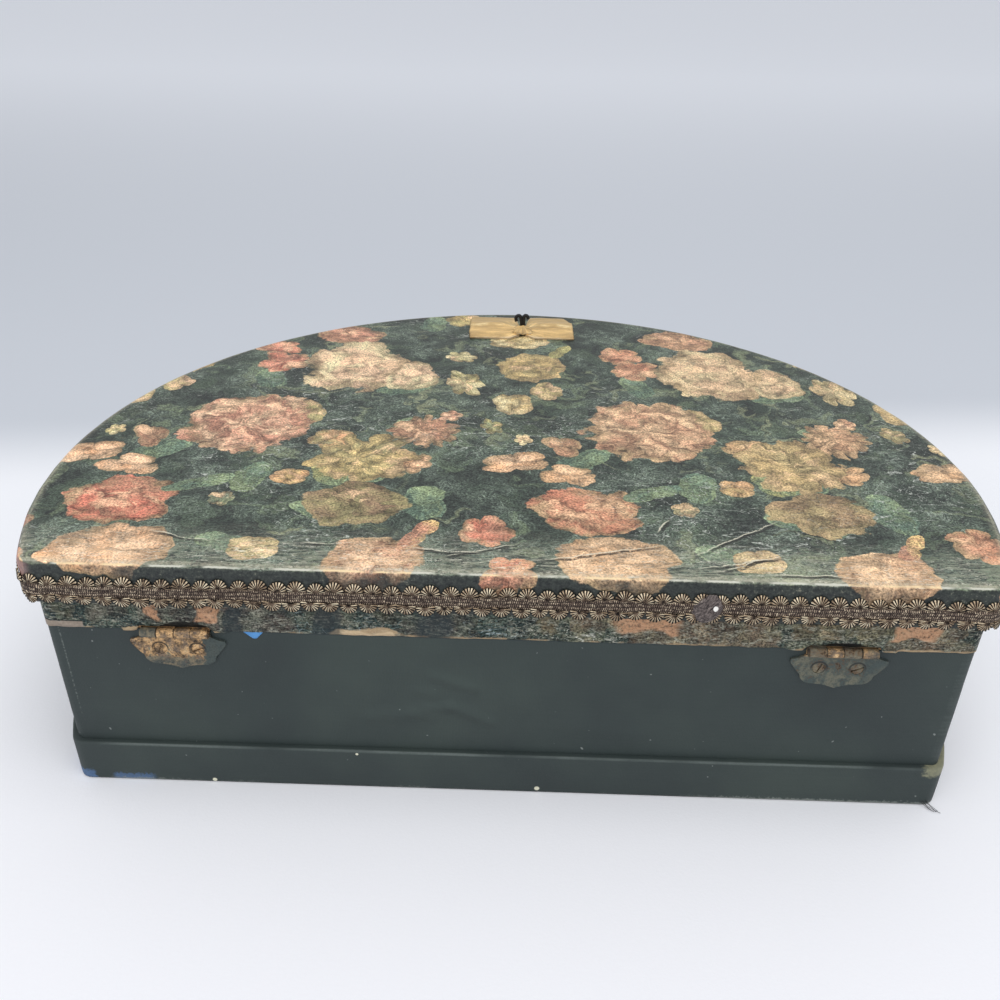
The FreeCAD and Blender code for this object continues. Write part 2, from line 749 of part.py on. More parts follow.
def cover_loop(border):
    """The outline of the paper over a lid leaf, grown by a border and open towards the joint."""
    half = f"({size('leaf_width')} / 2 + {border})"
    reach = f"({LID_LEAF_RISE} + {border})"
    rights = [(f"({HINGE_X} + {half} * {across})", f"({JOINT} + {reach} * {up})")
              for across, up in COVER_SHARES]
    lefts = [(f"({HINGE_X} - {half} * {across})", f"({JOINT} + {reach} * {up})")
             for across, up in reversed(COVER_SHARES)]
    feet = [(f"({HINGE_X} - {half})", JOINT), (f"({HINGE_X} + {half})", JOINT)]
    return [(place, None) for place in feet + rights + lefts]


def band_paper():
    """Paper round the lid's rails, turned under them, trimmed round each barrel and glued
    over the lid leaf and its screws."""
    thickness = size("paper_thickness")
    body = slab("band_paper_wrap", [moon_loop(thickness), moon_loop("0")], RAIL_BOTTOM,
                SLAB_BOTTOM)
    turned = new_sketch(body, "XY_Plane", JOINT)
    draw_loop(turned, moon_loop(thickness))
    draw_loop(turned, segment_loop(LID_INNER_RADIUS, LID_INNER_BACK))
    raise_pad(body, turned, thickness)
    cover = new_body("leaf_cover")
    outline = new_sketch(cover, "XZ_Plane", minus(BACK))
    draw_loop(outline, cover_loop(size("leaf_cover_border")))
    raise_pad(cover, outline, f"{COVER_FACE} - {BACK} + {thickness}", reverse=True)
    hollow = new_body("leaf_hollow")
    inside = new_sketch(hollow, "XZ_Plane", minus(BACK))
    draw_loop(inside, cover_loop(size("leaf_cover_gap")))
    raise_pad(hollow, inside, f"{COVER_FACE} - {BACK}", reverse=True)
    notch = doc.addObject("Part::Box", "barrel_notch")
    notch_length = f"({BARREL_LENGTH} + 2 * {size('barrel_notch_gap')})"
    notch.setExpression("Length", notch_length)
    notch.setExpression("Width", f"2 * ({size('knuckle_radius')} + {size('barrel_gap')})")
    notch.setExpression("Height", f"{size('knuckle_radius')} + {size('barrel_notch_gap')}")
    notch.setExpression(".Placement.Base.x", f"{HINGE_X} - {notch_length} / 2")
    notch.setExpression(".Placement.Base.y", BACK)
    notch.setExpression(".Placement.Base.z", JOINT)
    covers = doc.addObject("Part::MultiFuse", "lid_band_paper_covered")
    covers.Shapes = [body, cover, mirror_image("leaf_cover_right", cover)]
    hollows = doc.addObject("Part::MultiFuse", "lid_band_paper_hollows")
    hollows.Shapes = [hollow, notch, mirror_image("leaf_hollow_right", hollow),
                      mirror_image("barrel_notch_right", notch)]
    trimmed = doc.addObject("Part::Cut", "lid_band_paper_trimmed")
    trimmed.Base = covers
    trimmed.Tool = hollows
    keep("lid_band_paper", trimmed)


# Ribbon bow and wire

def ribbon_loop(label, shares, length, side):
    """One flattened loop of the bow, wide at its fold and drawn in at the knot."""
    body = new_body(label)
    sketch = new_sketch(body, "XY_Plane", LID_TOP)
    inner = f"({size('knot_width')} / 2 + {size('ribbon_gap')})"
    places = [(f"({side} * ({inner} + ({length} - {inner}) * {across}))",
               f"({BOW_MIDDLE} - {size('bow_depth')} / 2 * {along})") for across, along in shares]
    draw_loop(sketch, [(place, None) for place in places])
    raise_pad(body, sketch, size("loop_thickness"))
    fold_end = number(length) * FOLD_END_SHARE
    corners = edges_where(body.Tip.Shape, lambda edge: is_upright(edge)
                          and abs(edge.CenterOfMass.x) > fold_end)
    round_edges(body, corners, size("loop_corner_radius"))
    top = number(f"{LID_TOP} + {size('loop_thickness')}")
    bevel_edges(body, level_edges(body.Tip.Shape, top), size("loop_edge_bevel"))
    return keep(label, body)


def bow():
    ribbon_loop("bow_left_loop", LEFT_LOOP_SHARES, size("left_loop_length"), 1)
    ribbon_loop("bow_right_loop", RIGHT_LOOP_SHARES, size("right_loop_length"), -1)
    knot = new_body("bow_knot")
    sketch = new_sketch(knot, "XY_Plane", LID_TOP)
    half_width = f"({size('knot_width')} / 2)"
    half_depth = f"({size('knot_depth')} / 2)"
    draw_loop(sketch, box_loop((minus(half_width), f"({KNOT_Y} - {half_depth})"),
                               (half_width, f"({KNOT_Y} + {half_depth})")))
    raise_pad(knot, sketch, size("knot_thickness"))
    top = number(f"{LID_TOP} + {size('knot_thickness')}")
    bevel_edges(knot, level_edges(knot.Tip.Shape, top), size("knot_edge_bevel"))
    keep("bow_knot", knot)


def wire_stem():
    """A short wire that stands behind the knot and bends over like a crook."""
    radius = size("wire_bend_radius")
    near = minus(size("wire_place"))
    far = f"(2 * {radius} - {size('wire_place')})"
    bend = f"({LID_TOP} + {size('wire_height')})"
    body = new_body("wire_stem")
    line = new_sketch(body, "XZ_Plane",
                      f"({size('knot_depth')} / 2 + {radius} - {KNOT_Y})")
    places = [
        (near, LID_TOP),
        (near, f"({bend} + {radius} * {OCTAGON_SHARE})"),
        (f"({near} + {radius} * (1 - {OCTAGON_SHARE}))", f"({bend} + {radius})"),
        (f"({near} + {radius} * (1 + {OCTAGON_SHARE}))", f"({bend} + {radius})"),
        (far, f"({bend} + {radius} * {OCTAGON_SHARE})"),
        (far, f"({bend} - {size('wire_tip_length')})"),
    ]
    draw_line(line, places)
    section = new_sketch(body, "XY_Plane", LID_TOP)
    draw_loop(section, round_loop(
        (near, f"({KNOT_Y} - {size('knot_depth')} / 2 - {radius})"), size("wire_radius")))
    wire = body.newObject("PartDesign::AdditivePipe", "wire_stem_bent")
    wire.Profile = section
    wire.Spine = line
    wire.Transition = "Right corner"
    body.Tip = wire
    doc.recompute()
    keep("wire_stem", body)


base_boards()
plinth()
base_coverings()
lid_top_covering(lid_boards())
lid_linings()
braid()
hinges()
band_paper()
bow()
wire_stem()
doc.recompute()

for item in doc.Objects:
    if "Invalid" in item.State or "Error" in item.State:
        raise RuntimeError(f"{item.Name} did not recompute: {item.State}")
for label, item in pieces.items():
    if item.Shape.isNull() or not item.Shape.isValid():
        raise RuntimeError(f"{label} has no valid shape")

os.makedirs("parts", exist_ok=True)
for label, item in pieces.items():
    item.Shape.exportStep(f"parts/{label}.step")
    box = item.Shape.BoundBox
    print(f"{label}: {len(item.Shape.Solids)} solid, {item.Shape.Volume:.1f} mm3,"
          f" x {box.XMin:.2f} {box.XMax:.2f}, y {box.YMin:.2f} {box.YMax:.2f},"
          f" z {box.ZMin:.2f} {box.ZMax:.2f}")
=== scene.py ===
import math
import random

import bmesh
import bpy
import numpy as np
from mathutils import Matrix, Vector, noise


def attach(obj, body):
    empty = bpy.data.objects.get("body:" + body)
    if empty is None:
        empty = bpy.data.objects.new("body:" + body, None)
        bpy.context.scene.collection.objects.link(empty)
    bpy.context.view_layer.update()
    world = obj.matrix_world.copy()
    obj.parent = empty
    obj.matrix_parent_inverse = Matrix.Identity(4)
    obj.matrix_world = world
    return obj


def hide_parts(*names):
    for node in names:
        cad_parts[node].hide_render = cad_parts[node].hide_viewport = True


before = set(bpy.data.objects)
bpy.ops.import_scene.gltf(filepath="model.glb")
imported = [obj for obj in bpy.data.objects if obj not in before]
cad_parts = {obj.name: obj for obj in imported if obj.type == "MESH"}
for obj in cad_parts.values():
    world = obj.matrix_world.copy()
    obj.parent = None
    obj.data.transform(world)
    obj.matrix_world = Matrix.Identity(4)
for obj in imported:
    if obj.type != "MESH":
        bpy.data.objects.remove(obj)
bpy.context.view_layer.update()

# Half-moon storage box: floral paper on the lid, green bookcloth on the base, gimp braid,
# two overpainted brass hinges on the flat back and a gold ribbon bow. Lengths are in metres.

# The outline of the walls: a bow about the origin, two small corners and the flat back
BOW_RADIUS = 0.1643
BACK = 0.067
CORNER_RADIUS = 0.003
CORNER = Vector((0.14806, 0.064))
CORNER_ANGLE = math.atan2(CORNER.y, CORNER.x)

# Heights above the floor
PLINTH_TOP = 0.0174
JOINT = 0.067
BAND_TOP = 0.0795
LID_TOP = 0.0945

# How far each skin stands outside the walls' outline
CLOTH_OUT = 0.0
BAND_OUT = 0.0004
PLINTH_OUT = 0.0021
SLAB_OUT = 0.0037
BRAID_OUT = 0.0046

# How far the hinges' middles lie from the back's middle, and how large the lid leaves are
HINGE_PLACE = 0.10756
HINGE_HALF_WIDTH = 0.01572
LID_LEAF_HEIGHT = 0.0113


def tint(red, green, blue):
    """A colour as a paint chart gives it, from 0 to 255, as the light that it returns."""
    def channel(value):
        value /= 255
        return value / 12.92 if value <= 0.04045 else ((value + 0.055) / 1.055) ** 2.4
    return (channel(red), channel(green), channel(blue), 1.0)


def smooth(value):
    value = min(max(value, 0.0), 1.0)
    return value * value * (3 - 2 * value)


def ripple(x, y, z, size, seed=0.0):
    """Soft noise from about -1 to 1 whose waves are as long as size."""
    return noise.noise(Vector((x / size + seed, y / size - seed, z / size + 7 * seed)))


# ---- finishes ---------------------------------------------------------------------------


def worked(operation, turned=False):
    """An operator of Signal, by one node of maths; turned puts the signal second."""
    def apply(signal, other):
        return signal.work(operation, *((other, signal) if turned else (signal, other)))
    return apply


class Signal:
    """An output of a finish's node, with arithmetic for its numbers."""

    def __init__(self, finish, socket):
        self.finish, self.socket = finish, socket

    def work(self, operation, *values, clamp=False):
        return self.finish.node("ShaderNodeMath", {"operation": operation, "use_clamp": clamp},
                                dict(enumerate(values)))

    __add__ = __radd__ = worked("ADD")
    __sub__, __rsub__ = worked("SUBTRACT"), worked("SUBTRACT", turned=True)
    __mul__ = __rmul__ = worked("MULTIPLY")
    __truediv__, __pow__ = worked("DIVIDE"), worked("POWER")
    __gt__, __lt__ = worked("GREATER_THAN"), worked("LESS_THAN")

    def __abs__(self):
        return self.work("ABSOLUTE", self)

    def clamp(self):
        return self.work("ADD", self, 0.0, clamp=True)

    def step(self, low, high):
        """0 below low and 1 above high, or the other way round where low is the higher."""
        return self.finish.node("ShaderNodeMapRange", {"interpolation_type": "SMOOTHSTEP"},
                                {"Value": self, "From Min": low, "From Max": high})


class Finish:
    """A material and the nodes that paint it."""

    def __init__(self, name, specular):
        self.material = bpy.data.materials.new(name)
        self.material.use_nodes = True
        self.tree = self.material.node_tree
        self.shader = self.tree.nodes["Principled BSDF"]
        self.shader.inputs["Specular IOR Level"].default_value = specular

    def node(self, kind, settings=None, inputs=None, output=0):
        made = self.tree.nodes.new(kind)
        for setting, value in (settings or {}).items():
            setattr(made, setting, value)
        for socket, value in (inputs or {}).items():
            self.feed(made.inputs[socket], value)
        return Signal(self, made.outputs[output])

    def feed(self, socket, value):
        if isinstance(value, Signal):
            self.tree.links.new(value.socket, socket)
        else:
            socket.default_value = value

    def place(self):
        return self.node("ShaderNodeTexCoord", output="Object")

    def sheet(self):
        return self.node("ShaderNodeUVMap", {"uv_map": "sheet"})

    def stored(self, name, output="Vector"):
        return self.node("ShaderNodeAttribute", {"attribute_name": name}, output=output)

    def parts(self, vector):
        split = self.node("ShaderNodeSeparateXYZ", None, {0: vector}).socket.node
        return [Signal(self, socket) for socket in split.outputs]

    def joined(self, x, y, z=0.0):
        return self.node("ShaderNodeCombineXYZ", None, {0: x, 1: y, 2: z})

    def moved(self, vector, scale, turn, shift=(0, 0, 0)):
        return self.node("ShaderNodeMapping", None, {
            "Vector": vector, "Scale": scale, "Rotation": (0, 0, math.radians(turn)),
            "Location": shift})

    def cloud(self, vector, scale, detail=3.0, roughness=0.55, distortion=0.0):
        return self.node("ShaderNodeTexNoise", None, {
            "Vector": vector, "Scale": scale, "Detail": detail, "Roughness": roughness,
            "Distortion": distortion})

    def strokes(self, vector, scale, turn=0.0, *more):
        """A cloud drawn out by a scale along each axis and turned by some degrees."""
        return self.cloud(self.moved(vector, scale, turn), 1.0, *more)

    def ribs(self, vector, axis, scale, distortion, detail):
        return self.node("ShaderNodeTexWave", {"wave_type": "BANDS", "bands_direction": axis}, {
            "Vector": vector, "Scale": scale, "Distortion": distortion, "Detail": detail})

    def cells(self, vector, randomness):
        """Cells: the distance from the nearest middle and three chance numbers of each cell."""
        cell = self.node("ShaderNodeTexVoronoi", {"feature": "F1"},
                         {"Vector": vector, "Scale": 1.0, "Randomness": randomness})
        return (cell, *self.parts(Signal(self, cell.socket.node.outputs["Color"])))

    def shifted(self, vector, x, y):
        return self.node("ShaderNodeVectorMath", {"operation": "ADD"},
                         {0: vector, 1: self.joined(x, y)})

    def mix(self, share, first, second, blend="MIX"):
        return self.node("ShaderNodeMix", {"data_type": "RGBA", "blend_type": blend},
                         {0: share, 6: first, 7: second}, output=2)

    def between(self, share, first, second):
        """A colour between two colours of the chart."""
        return self.mix(share, tint(*first), tint(*second))

    def stain(self, colour, share, first, second=None, by=None):
        """A colour with a chart colour laid over it, or one that lies between two of them."""
        over = self.between(by, first, second) if second else tint(*first)
        return self.mix(share, colour, over)

    def ramp(self, share, *stops):
        """A colour that runs through chart colours, each with its own place."""
        made = self.node("ShaderNodeValToRGB", None, {0: share})
        elements = made.socket.node.color_ramp.elements
        while len(elements) < len(stops):
            elements.new(0.5)
        for element, (place, colour) in zip(elements, stops):
            element.position, element.color = place, tint(*colour)
        return made

    def light(self, share, colour):
        """A colour made lighter or darker by a factor about 1."""
        return self.mix(1.0, colour, self.node("ShaderNodeCombineColor", None,
                                               {0: share, 1: share, 2: share}), "MULTIPLY")

    def surface(self, colour, roughness, height, depth, metallic=0.0):
        """Ends the material; height from 0 to 1 stands for a relief of the given depth."""
        relief = self.node("ShaderNodeBump", None,
                           {"Strength": 1.0, "Distance": depth, "Height": height})
        for socket, value in (("Base Color", colour), ("Roughness", roughness),
                              ("Metallic", metallic), ("Normal", relief)):
            self.feed(self.shader.inputs[socket], value)
        return self.material


# ---- pieces -----------------------------------------------------------------------------


def put(name, data):
    """A new object, linked to the scene."""
    made = bpy.data.objects.new(name, data)
    bpy.context.scene.collection.objects.link(made)
    return made


def mesh_from(name, bm):
    mesh = bpy.data.meshes.new(name)
    bm.to_mesh(mesh)
    bm.free()
    return mesh


def finish_piece(name, bm, material, body, node=None, sharp=None):
    """Ends a piece: its mesh, finish, the body that it rides on and the node it stands for.

    Edges bent by more than sharp degrees are shaded as sharp ones.
    """
    mesh = mesh_from(name, bm)
    for polygon in mesh.polygons:
        polygon.use_smooth = True
    if sharp:
        mesh.set_sharp_from_angle(angle=math.radians(sharp))
    piece = put(name, mesh)
    mesh.materials.append(material)
    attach(piece, body)
    if node:
        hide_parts(node)
    return piece


def outline_length(out):
    """The length of the outline that lies out metres outside the walls."""
    return (2 * CORNER.x + 2 * (CORNER_RADIUS + out) * (math.pi / 2 - CORNER_ANGLE)
            + (BOW_RADIUS + out) * (math.pi + 2 * CORNER_ANGLE))


def on_outline(share, out):
    """The point and the outward direction at a share of the way round, from the back's middle."""
    way = (share % 1.0) * outline_length(out)
    side = 1
    if way > outline_length(out) / 2:
        way, side = outline_length(out) - way, -1
    corner = (CORNER_RADIUS + out) * (math.pi / 2 - CORNER_ANGLE)
    if way < CORNER.x:
        point, angle = Vector((way, BACK + out)), math.pi / 2
    elif way < CORNER.x + corner:
        angle = math.pi / 2 - (way - CORNER.x) / (CORNER_RADIUS + out)
        point = CORNER + (CORNER_RADIUS + out) * Vector((math.cos(angle), math.sin(angle)))
    else:
        angle = CORNER_ANGLE - (way - CORNER.x - corner) / (BOW_RADIUS + out)
        point = (BOW_RADIUS + out) * Vector((math.cos(angle), math.sin(angle)))
    outward = Vector((math.cos(angle), math.sin(angle)))
    point.x, outward.x = side * point.x, side * outward.x
    return point, outward


def skin(columns, rows, lay, closed=True):
    """A sheet of columns round the outline and rows across it, its meeting edges joined.

    lay(round, across) gives a point, its place on the flat sheet, and how rubbed it is.
    """
    bm = bmesh.new()
    bmesh.ops.create_grid(bm, x_segments=columns, y_segments=rows, size=0.5)
    sheet, rub = bm.loops.layers.uv.new("sheet"), bm.verts.layers.float.new("rub")
    flat = {}
    for vert in bm.verts:
        point, flat[vert], vert[rub] = lay(vert.co.x + 0.5, vert.co.y + 0.5)
        vert.co = point
    for face in bm.faces:
        for loop in face.loops:
            loop[sheet].uv = flat[loop.vert]
    if closed:
        bmesh.ops.remove_doubles(bm, verts=bm.verts, dist=1e-6)
        bmesh.ops.dissolve_degenerate(bm, edges=bm.edges, dist=1e-7)
    bmesh.ops.recalc_face_normals(bm, faces=bm.faces)
    return bm


def thicken(piece, thickness, offset=-1.0):
    wall = piece.modifiers.new("thickness", "SOLIDIFY")
    wall.thickness, wall.offset, wall.use_even_offset = thickness, offset, True


# ---- camera, lights and floor -----------------------------------------------------------


def set_camera():
    """The camera stands behind the box, a little above it, as the photographer stood."""
    yaw, pitch, roll = (math.radians(angle) for angle in (-1.29, 30.33, 0.895))
    ahead = Vector((-math.sin(yaw) * math.cos(pitch), -math.cos(yaw) * math.cos(pitch),
                    -math.sin(pitch)))
    right = Vector((-math.cos(yaw), math.sin(yaw), 0))
    up = right.cross(ahead)
    right, up = (math.cos(roll) * right + math.sin(roll) * up,
                 math.cos(roll) * up - math.sin(roll) * right)
    camera = put("camera", bpy.data.cameras.new("camera"))
    camera.data.lens, camera.data.sensor_width = 34.2, 36.0
    camera.data.clip_start, camera.data.clip_end = 0.01, 100.0
    camera.matrix_world = Matrix.Translation((-0.00255, 0.30925, 0.26085)) @ Matrix(
        (right, up, -ahead)).transposed().to_4x4()
    bpy.context.scene.camera = camera


def set_lights():
    """A wide soft light over the camera, in a pale room."""
    world = bpy.data.worlds.new("pale_room")
    bpy.context.scene.world = world
    world.use_nodes = True
    background = world.node_tree.nodes["Background"].inputs
    background["Color"].default_value = tint(243, 244, 248)
    background["Strength"].default_value = 0.76
    for name, place, size, power in (
            ("ceiling_light", (-0.25, 0.35, 1.5), 1.3, 9.0),
            ("window_light", (0.9, 1.3, 0.9), 1.0, 4.5)):
        lamp = put(name, bpy.data.lights.new(name, "AREA"))
        lamp.data.shape, lamp.data.size, lamp.data.energy = "DISK", size, power
        lamp.location = place
        lamp.rotation_mode = "QUATERNION"
        lamp.rotation_quaternion = (Vector((0, 0, 0.05)) - Vector(place)).to_track_quat("-Z", "Y")


def lay_floor():
    """A pale floor with painted shade: it turns bluer and darker some way beyond the box, where
    less light falls.
    """
    finish = Finish("pale_floor", 0.2)
    place = finish.place()
    across, along, _ = finish.parts(place)
    drift = finish.cloud(place, 1.7, 2.0)
    # Painted shade: the floor darker and bluer far beyond the box, and more so towards +X.
    far = (along + (drift - 0.5) * 0.05 - across * 0.12).step(-0.16, -0.26)
    near = finish.between(along.step(-0.05, 0.12), (243, 245, 249), (244, 245, 249))
    deep = finish.between(along.step(-0.4, -2.2), (202, 207, 214), (242, 246, 252))
    colour = finish.mix(far, near, deep)
    grain = finish.cloud(place, 900, 2.0)
    finish.surface(finish.light(grain * 0.02 + 0.99, colour), 0.75 + 0.1 * grain, grain, 0.00005)
    bm = bmesh.new()
    bmesh.ops.create_grid(bm, x_segments=40, y_segments=40, size=15.0)
    floor = put("floor", mesh_from("floor", bm))
    floor.data.materials.append(finish.material)


# ---- floral paper -----------------------------------------------------------------------

# The print repeats every REPEAT mm across; its flowers lie in LAYERS layers
REPEAT = 160
LAYERS = 4

PEACH, CREAM, SALMON = (236, 198, 162), (226, 214, 168), (220, 156, 130)
CORAL, ORANGE, GOLD = (212, 120, 100), (232, 174, 128), (218, 190, 128)
OLIVE, LIME, BROWN = (160, 152, 106), (176, 170, 112), (152, 124, 98)
SAGE, TEAL, ROSE = (136, 151, 114), (96, 117, 100), (190, 136, 110)
GLOW, RUST, TAN = (246, 202, 162), (124, 108, 80), (196, 166, 124)

# Flowers of one repeat: place, half width and half height in mm, turn in degrees, petals,
# how deep they are cut, rings of petals, and the two colours that run into each other
FLOWERS = (
    (66, 8, 8, 10, 20, 2, 0.3, 1, SAGE, LIME), (52, 6.5, 9, 10, -15, 2, 0.3, 1, SAGE, TEAL),
    (108, -76, 7, 11, 25, 2, 0.3, 1, TEAL, SAGE), (94, 13, 8, 11, -12, 2, 0.2, 1, SAGE, TEAL),
    (92, 56, 6, 9, 70, 2, 0.3, 1, TEAL, SAGE), (100, 29, 5, 5, 0, 5, 0.3, 1, TEAL, SAGE),
    (36, -30, 7, 13, 60, 2, 0.3, 1, TEAL, SAGE), (134, -5, 7, 13, -50, 2, 0.3, 1, TEAL, SAGE),
    (60, 36, 7, 15, 74, 2, 0.35, 1, TEAL, SAGE), (111, 18, 5, 12, -64, 2, 0.35, 1, SAGE, TEAL),
    (30, 28, 9, 12, 10, 2, 0.25, 1, TEAL, SAGE), (48, -70, 9, 12, -70, 2, 0.3, 1, TEAL, SAGE),
    (82, -132, 18, 12, -14, 6, 0.14, 2.6, ROSE, SALMON),
    (111.8, -111.5, 10.5, 10.5, 10, 5, 0.32, 1, SALMON, CORAL),
    (106, -94.5, 12, 12, 40, 5, 0.32, 1, CORAL, SALMON),
    (74, -92.5, 23, 29, 8, 5, 0.13, 2.6, PEACH, CREAM),
    (46, -82, 12, 16, 0, 3, 0.14, 2, CREAM, PEACH),
    (106.5, -31.5, 27, 27, 0, 15, 0.11, 3.4, SALMON, PEACH),
    (85, -42, 8, 11, 20, 4, 0.2, 1.4, OLIVE, LIME), (80, 12, 7, 6, 0, 4, 0.2, 1.2, GOLD, ORANGE),
    (56, -5, 20, 20, 12, 9, 0.26, 2.2, OLIVE, GOLD),
    (70, -18.5, 10, 8, 0, 5, 0.25, 1.3, ORANGE, OLIVE),
    (38, 0, 9, 8, 0, 6, 0.3, 1.3, BROWN, ORANGE),
    (53.5, 29, 19, 15, 0, 4, 0.2, 1.8, OLIVE, BROWN),
    (35, -27, 14, 15, 0, 12, 0.3, 2.6, BROWN, ROSE),
    (26, -42, 5, 5, 0, 5, 0.25, 1, SALMON, PEACH),
    (-1, -3, 14, 8, 12, 4, 0.3, 1.2, ORANGE, PEACH),
    (-20, 6, 12, 8, -10, 3, 0.45, 1.1, PEACH, ORANGE),
    (-19, -18, 7, 10, 30, 3, 0.4, 1.2, ROSE, BROWN),
    (-26, 31, 20, 17, -12, 5, 0.18, 3, CORAL, ROSE),
    (-34, 61, 20, 14, 0, 4, 0.14, 2, PEACH, ORANGE), (81, 59, 9, 7, 0, 4, 0.2, 1.2, LIME, CREAM),
    (43, 64, 17, 13, 10, 5, 0.15, 1.8, ROSE, PEACH), (30, 49, 5, 10, -32, 2, 0.6, 1, ROSE, GOLD),
    (8, 46, 10, 10, 0, 5, 0.3, 1, CORAL, SALMON), (0, 69, 10, 9, 30, 5, 0.3, 1, SALMON, CORAL),
    (-7, -95, 16, 17, 0, 5, 0.12, 2, GOLD, OLIVE),
    (-20, -115, 5, 9, -28, 2, 0.55, 1, LIME, OLIVE),
    (-13, -69, 8, 9, 10, 4, 0.28, 1, PEACH, LIME), (1, -55, 9, 12, 0, 4, 0.2, 1.4, GOLD, CREAM),
    (22, -75, 9, 14, 10, 6, 0.36, 1, LIME, CREAM), (26, -106, 7, 7, 0, 6, 0.36, 1, CREAM, LIME),
    (-1, -127, 15, 9, 5, 5, 0.2, 1.5, CREAM, GOLD), (9, -33, 5, 7, 20, 5, 0.4, 1, LIME, SAGE),
    (-4, -22, 4, 5, 0, 5, 0.4, 1, CREAM, LIME), (28, -156, 9, 9, 0, 5, 0.3, 1.2, GOLD, LIME),
    (42, -149, 8, 12, 0, 2, 0.4, 1, TEAL, SAGE),
)


def share_out_flowers():
    """Gives each flower a layer in which it meets no other, so that they overlap freely."""
    layers = [[] for _ in range(LAYERS)]
    for flower in FLOWERS:
        def crowding(layer):
            worst = 0.0
            for other in layers[layer]:
                across = (flower[0] - other[0] + REPEAT / 2) % REPEAT - REPEAT / 2
                gap = math.hypot(across, flower[1] - other[1])
                worst = max(worst, (max(flower[2:4]) + max(other[2:4])) / max(gap, 0.1))
            return worst
        loose = [layer for layer in range(LAYERS) if crowding(layer) < 0.85]
        choice = loose[0] if loose else min(range(LAYERS), key=crowding)
        layers[choice].append(flower)
    return layers


FLOWER_LAYERS = share_out_flowers()


def on_flower(across, along, rows):
    """Where a place lies on a flower, in half widths and half heights of the flower."""
    turn = np.radians(rows[:, 4])
    return ((across * np.cos(turn) + along * np.sin(turn)) / rows[:, 2],
            (along * np.cos(turn) - across * np.sin(turn)) / rows[:, 3])


def plant_flowers(mesh):
    """Tells each face of a papered piece which flowers are printed near it."""
    flat = np.empty(len(mesh.loops) * 2)
    mesh.uv_layers["sheet"].data.foreach_get("uv", flat)
    flat = flat.reshape(-1, 2) * 1000
    starts = np.empty(len(mesh.polygons), int)
    totals = np.empty(len(mesh.polygons), int)
    mesh.polygons.foreach_get("loop_start", starts)
    mesh.polygons.foreach_get("loop_total", totals)
    middles = np.add.reduceat(flat, starts) / totals[:, None]
    for index, layer in enumerate(FLOWER_LAYERS):
        rows = np.array([flower[:8] for flower in layer])
        across = middles[:, None, 0] - rows[None, :, 0]
        shift = np.round(across / REPEAT) * REPEAT
        nearest = np.argmin(np.hypot(*on_flower(
            across - shift, middles[:, None, 1] - rows[None, :, 1], rows)), axis=1)
        chosen = np.repeat(nearest, totals)
        shift = np.repeat(shift[np.arange(len(nearest)), nearest], totals)
        row = rows[chosen]
        u, v = on_flower(flat[:, 0] - shift - row[:, 0], flat[:, 1] - row[:, 1], row)
        place = np.stack([u, v, np.where(row[:, 5] == 2, math.pi / 2, chosen * 1.37)], axis=1)
        petals, blushes = (np.array([tint(*flower[column])[:3] for flower in layer])
                           for column in (8, 9))
        for name, values in (("place", place), ("form", row[:, 5:8]),
                             ("petal", petals[chosen]), ("blush", blushes[chosen])):
            stored = mesh.attributes.new(f"{name}_{index}", "FLOAT_VECTOR", "CORNER")
            stored.data.foreach_set("vector", values.astype(np.float32).ravel())


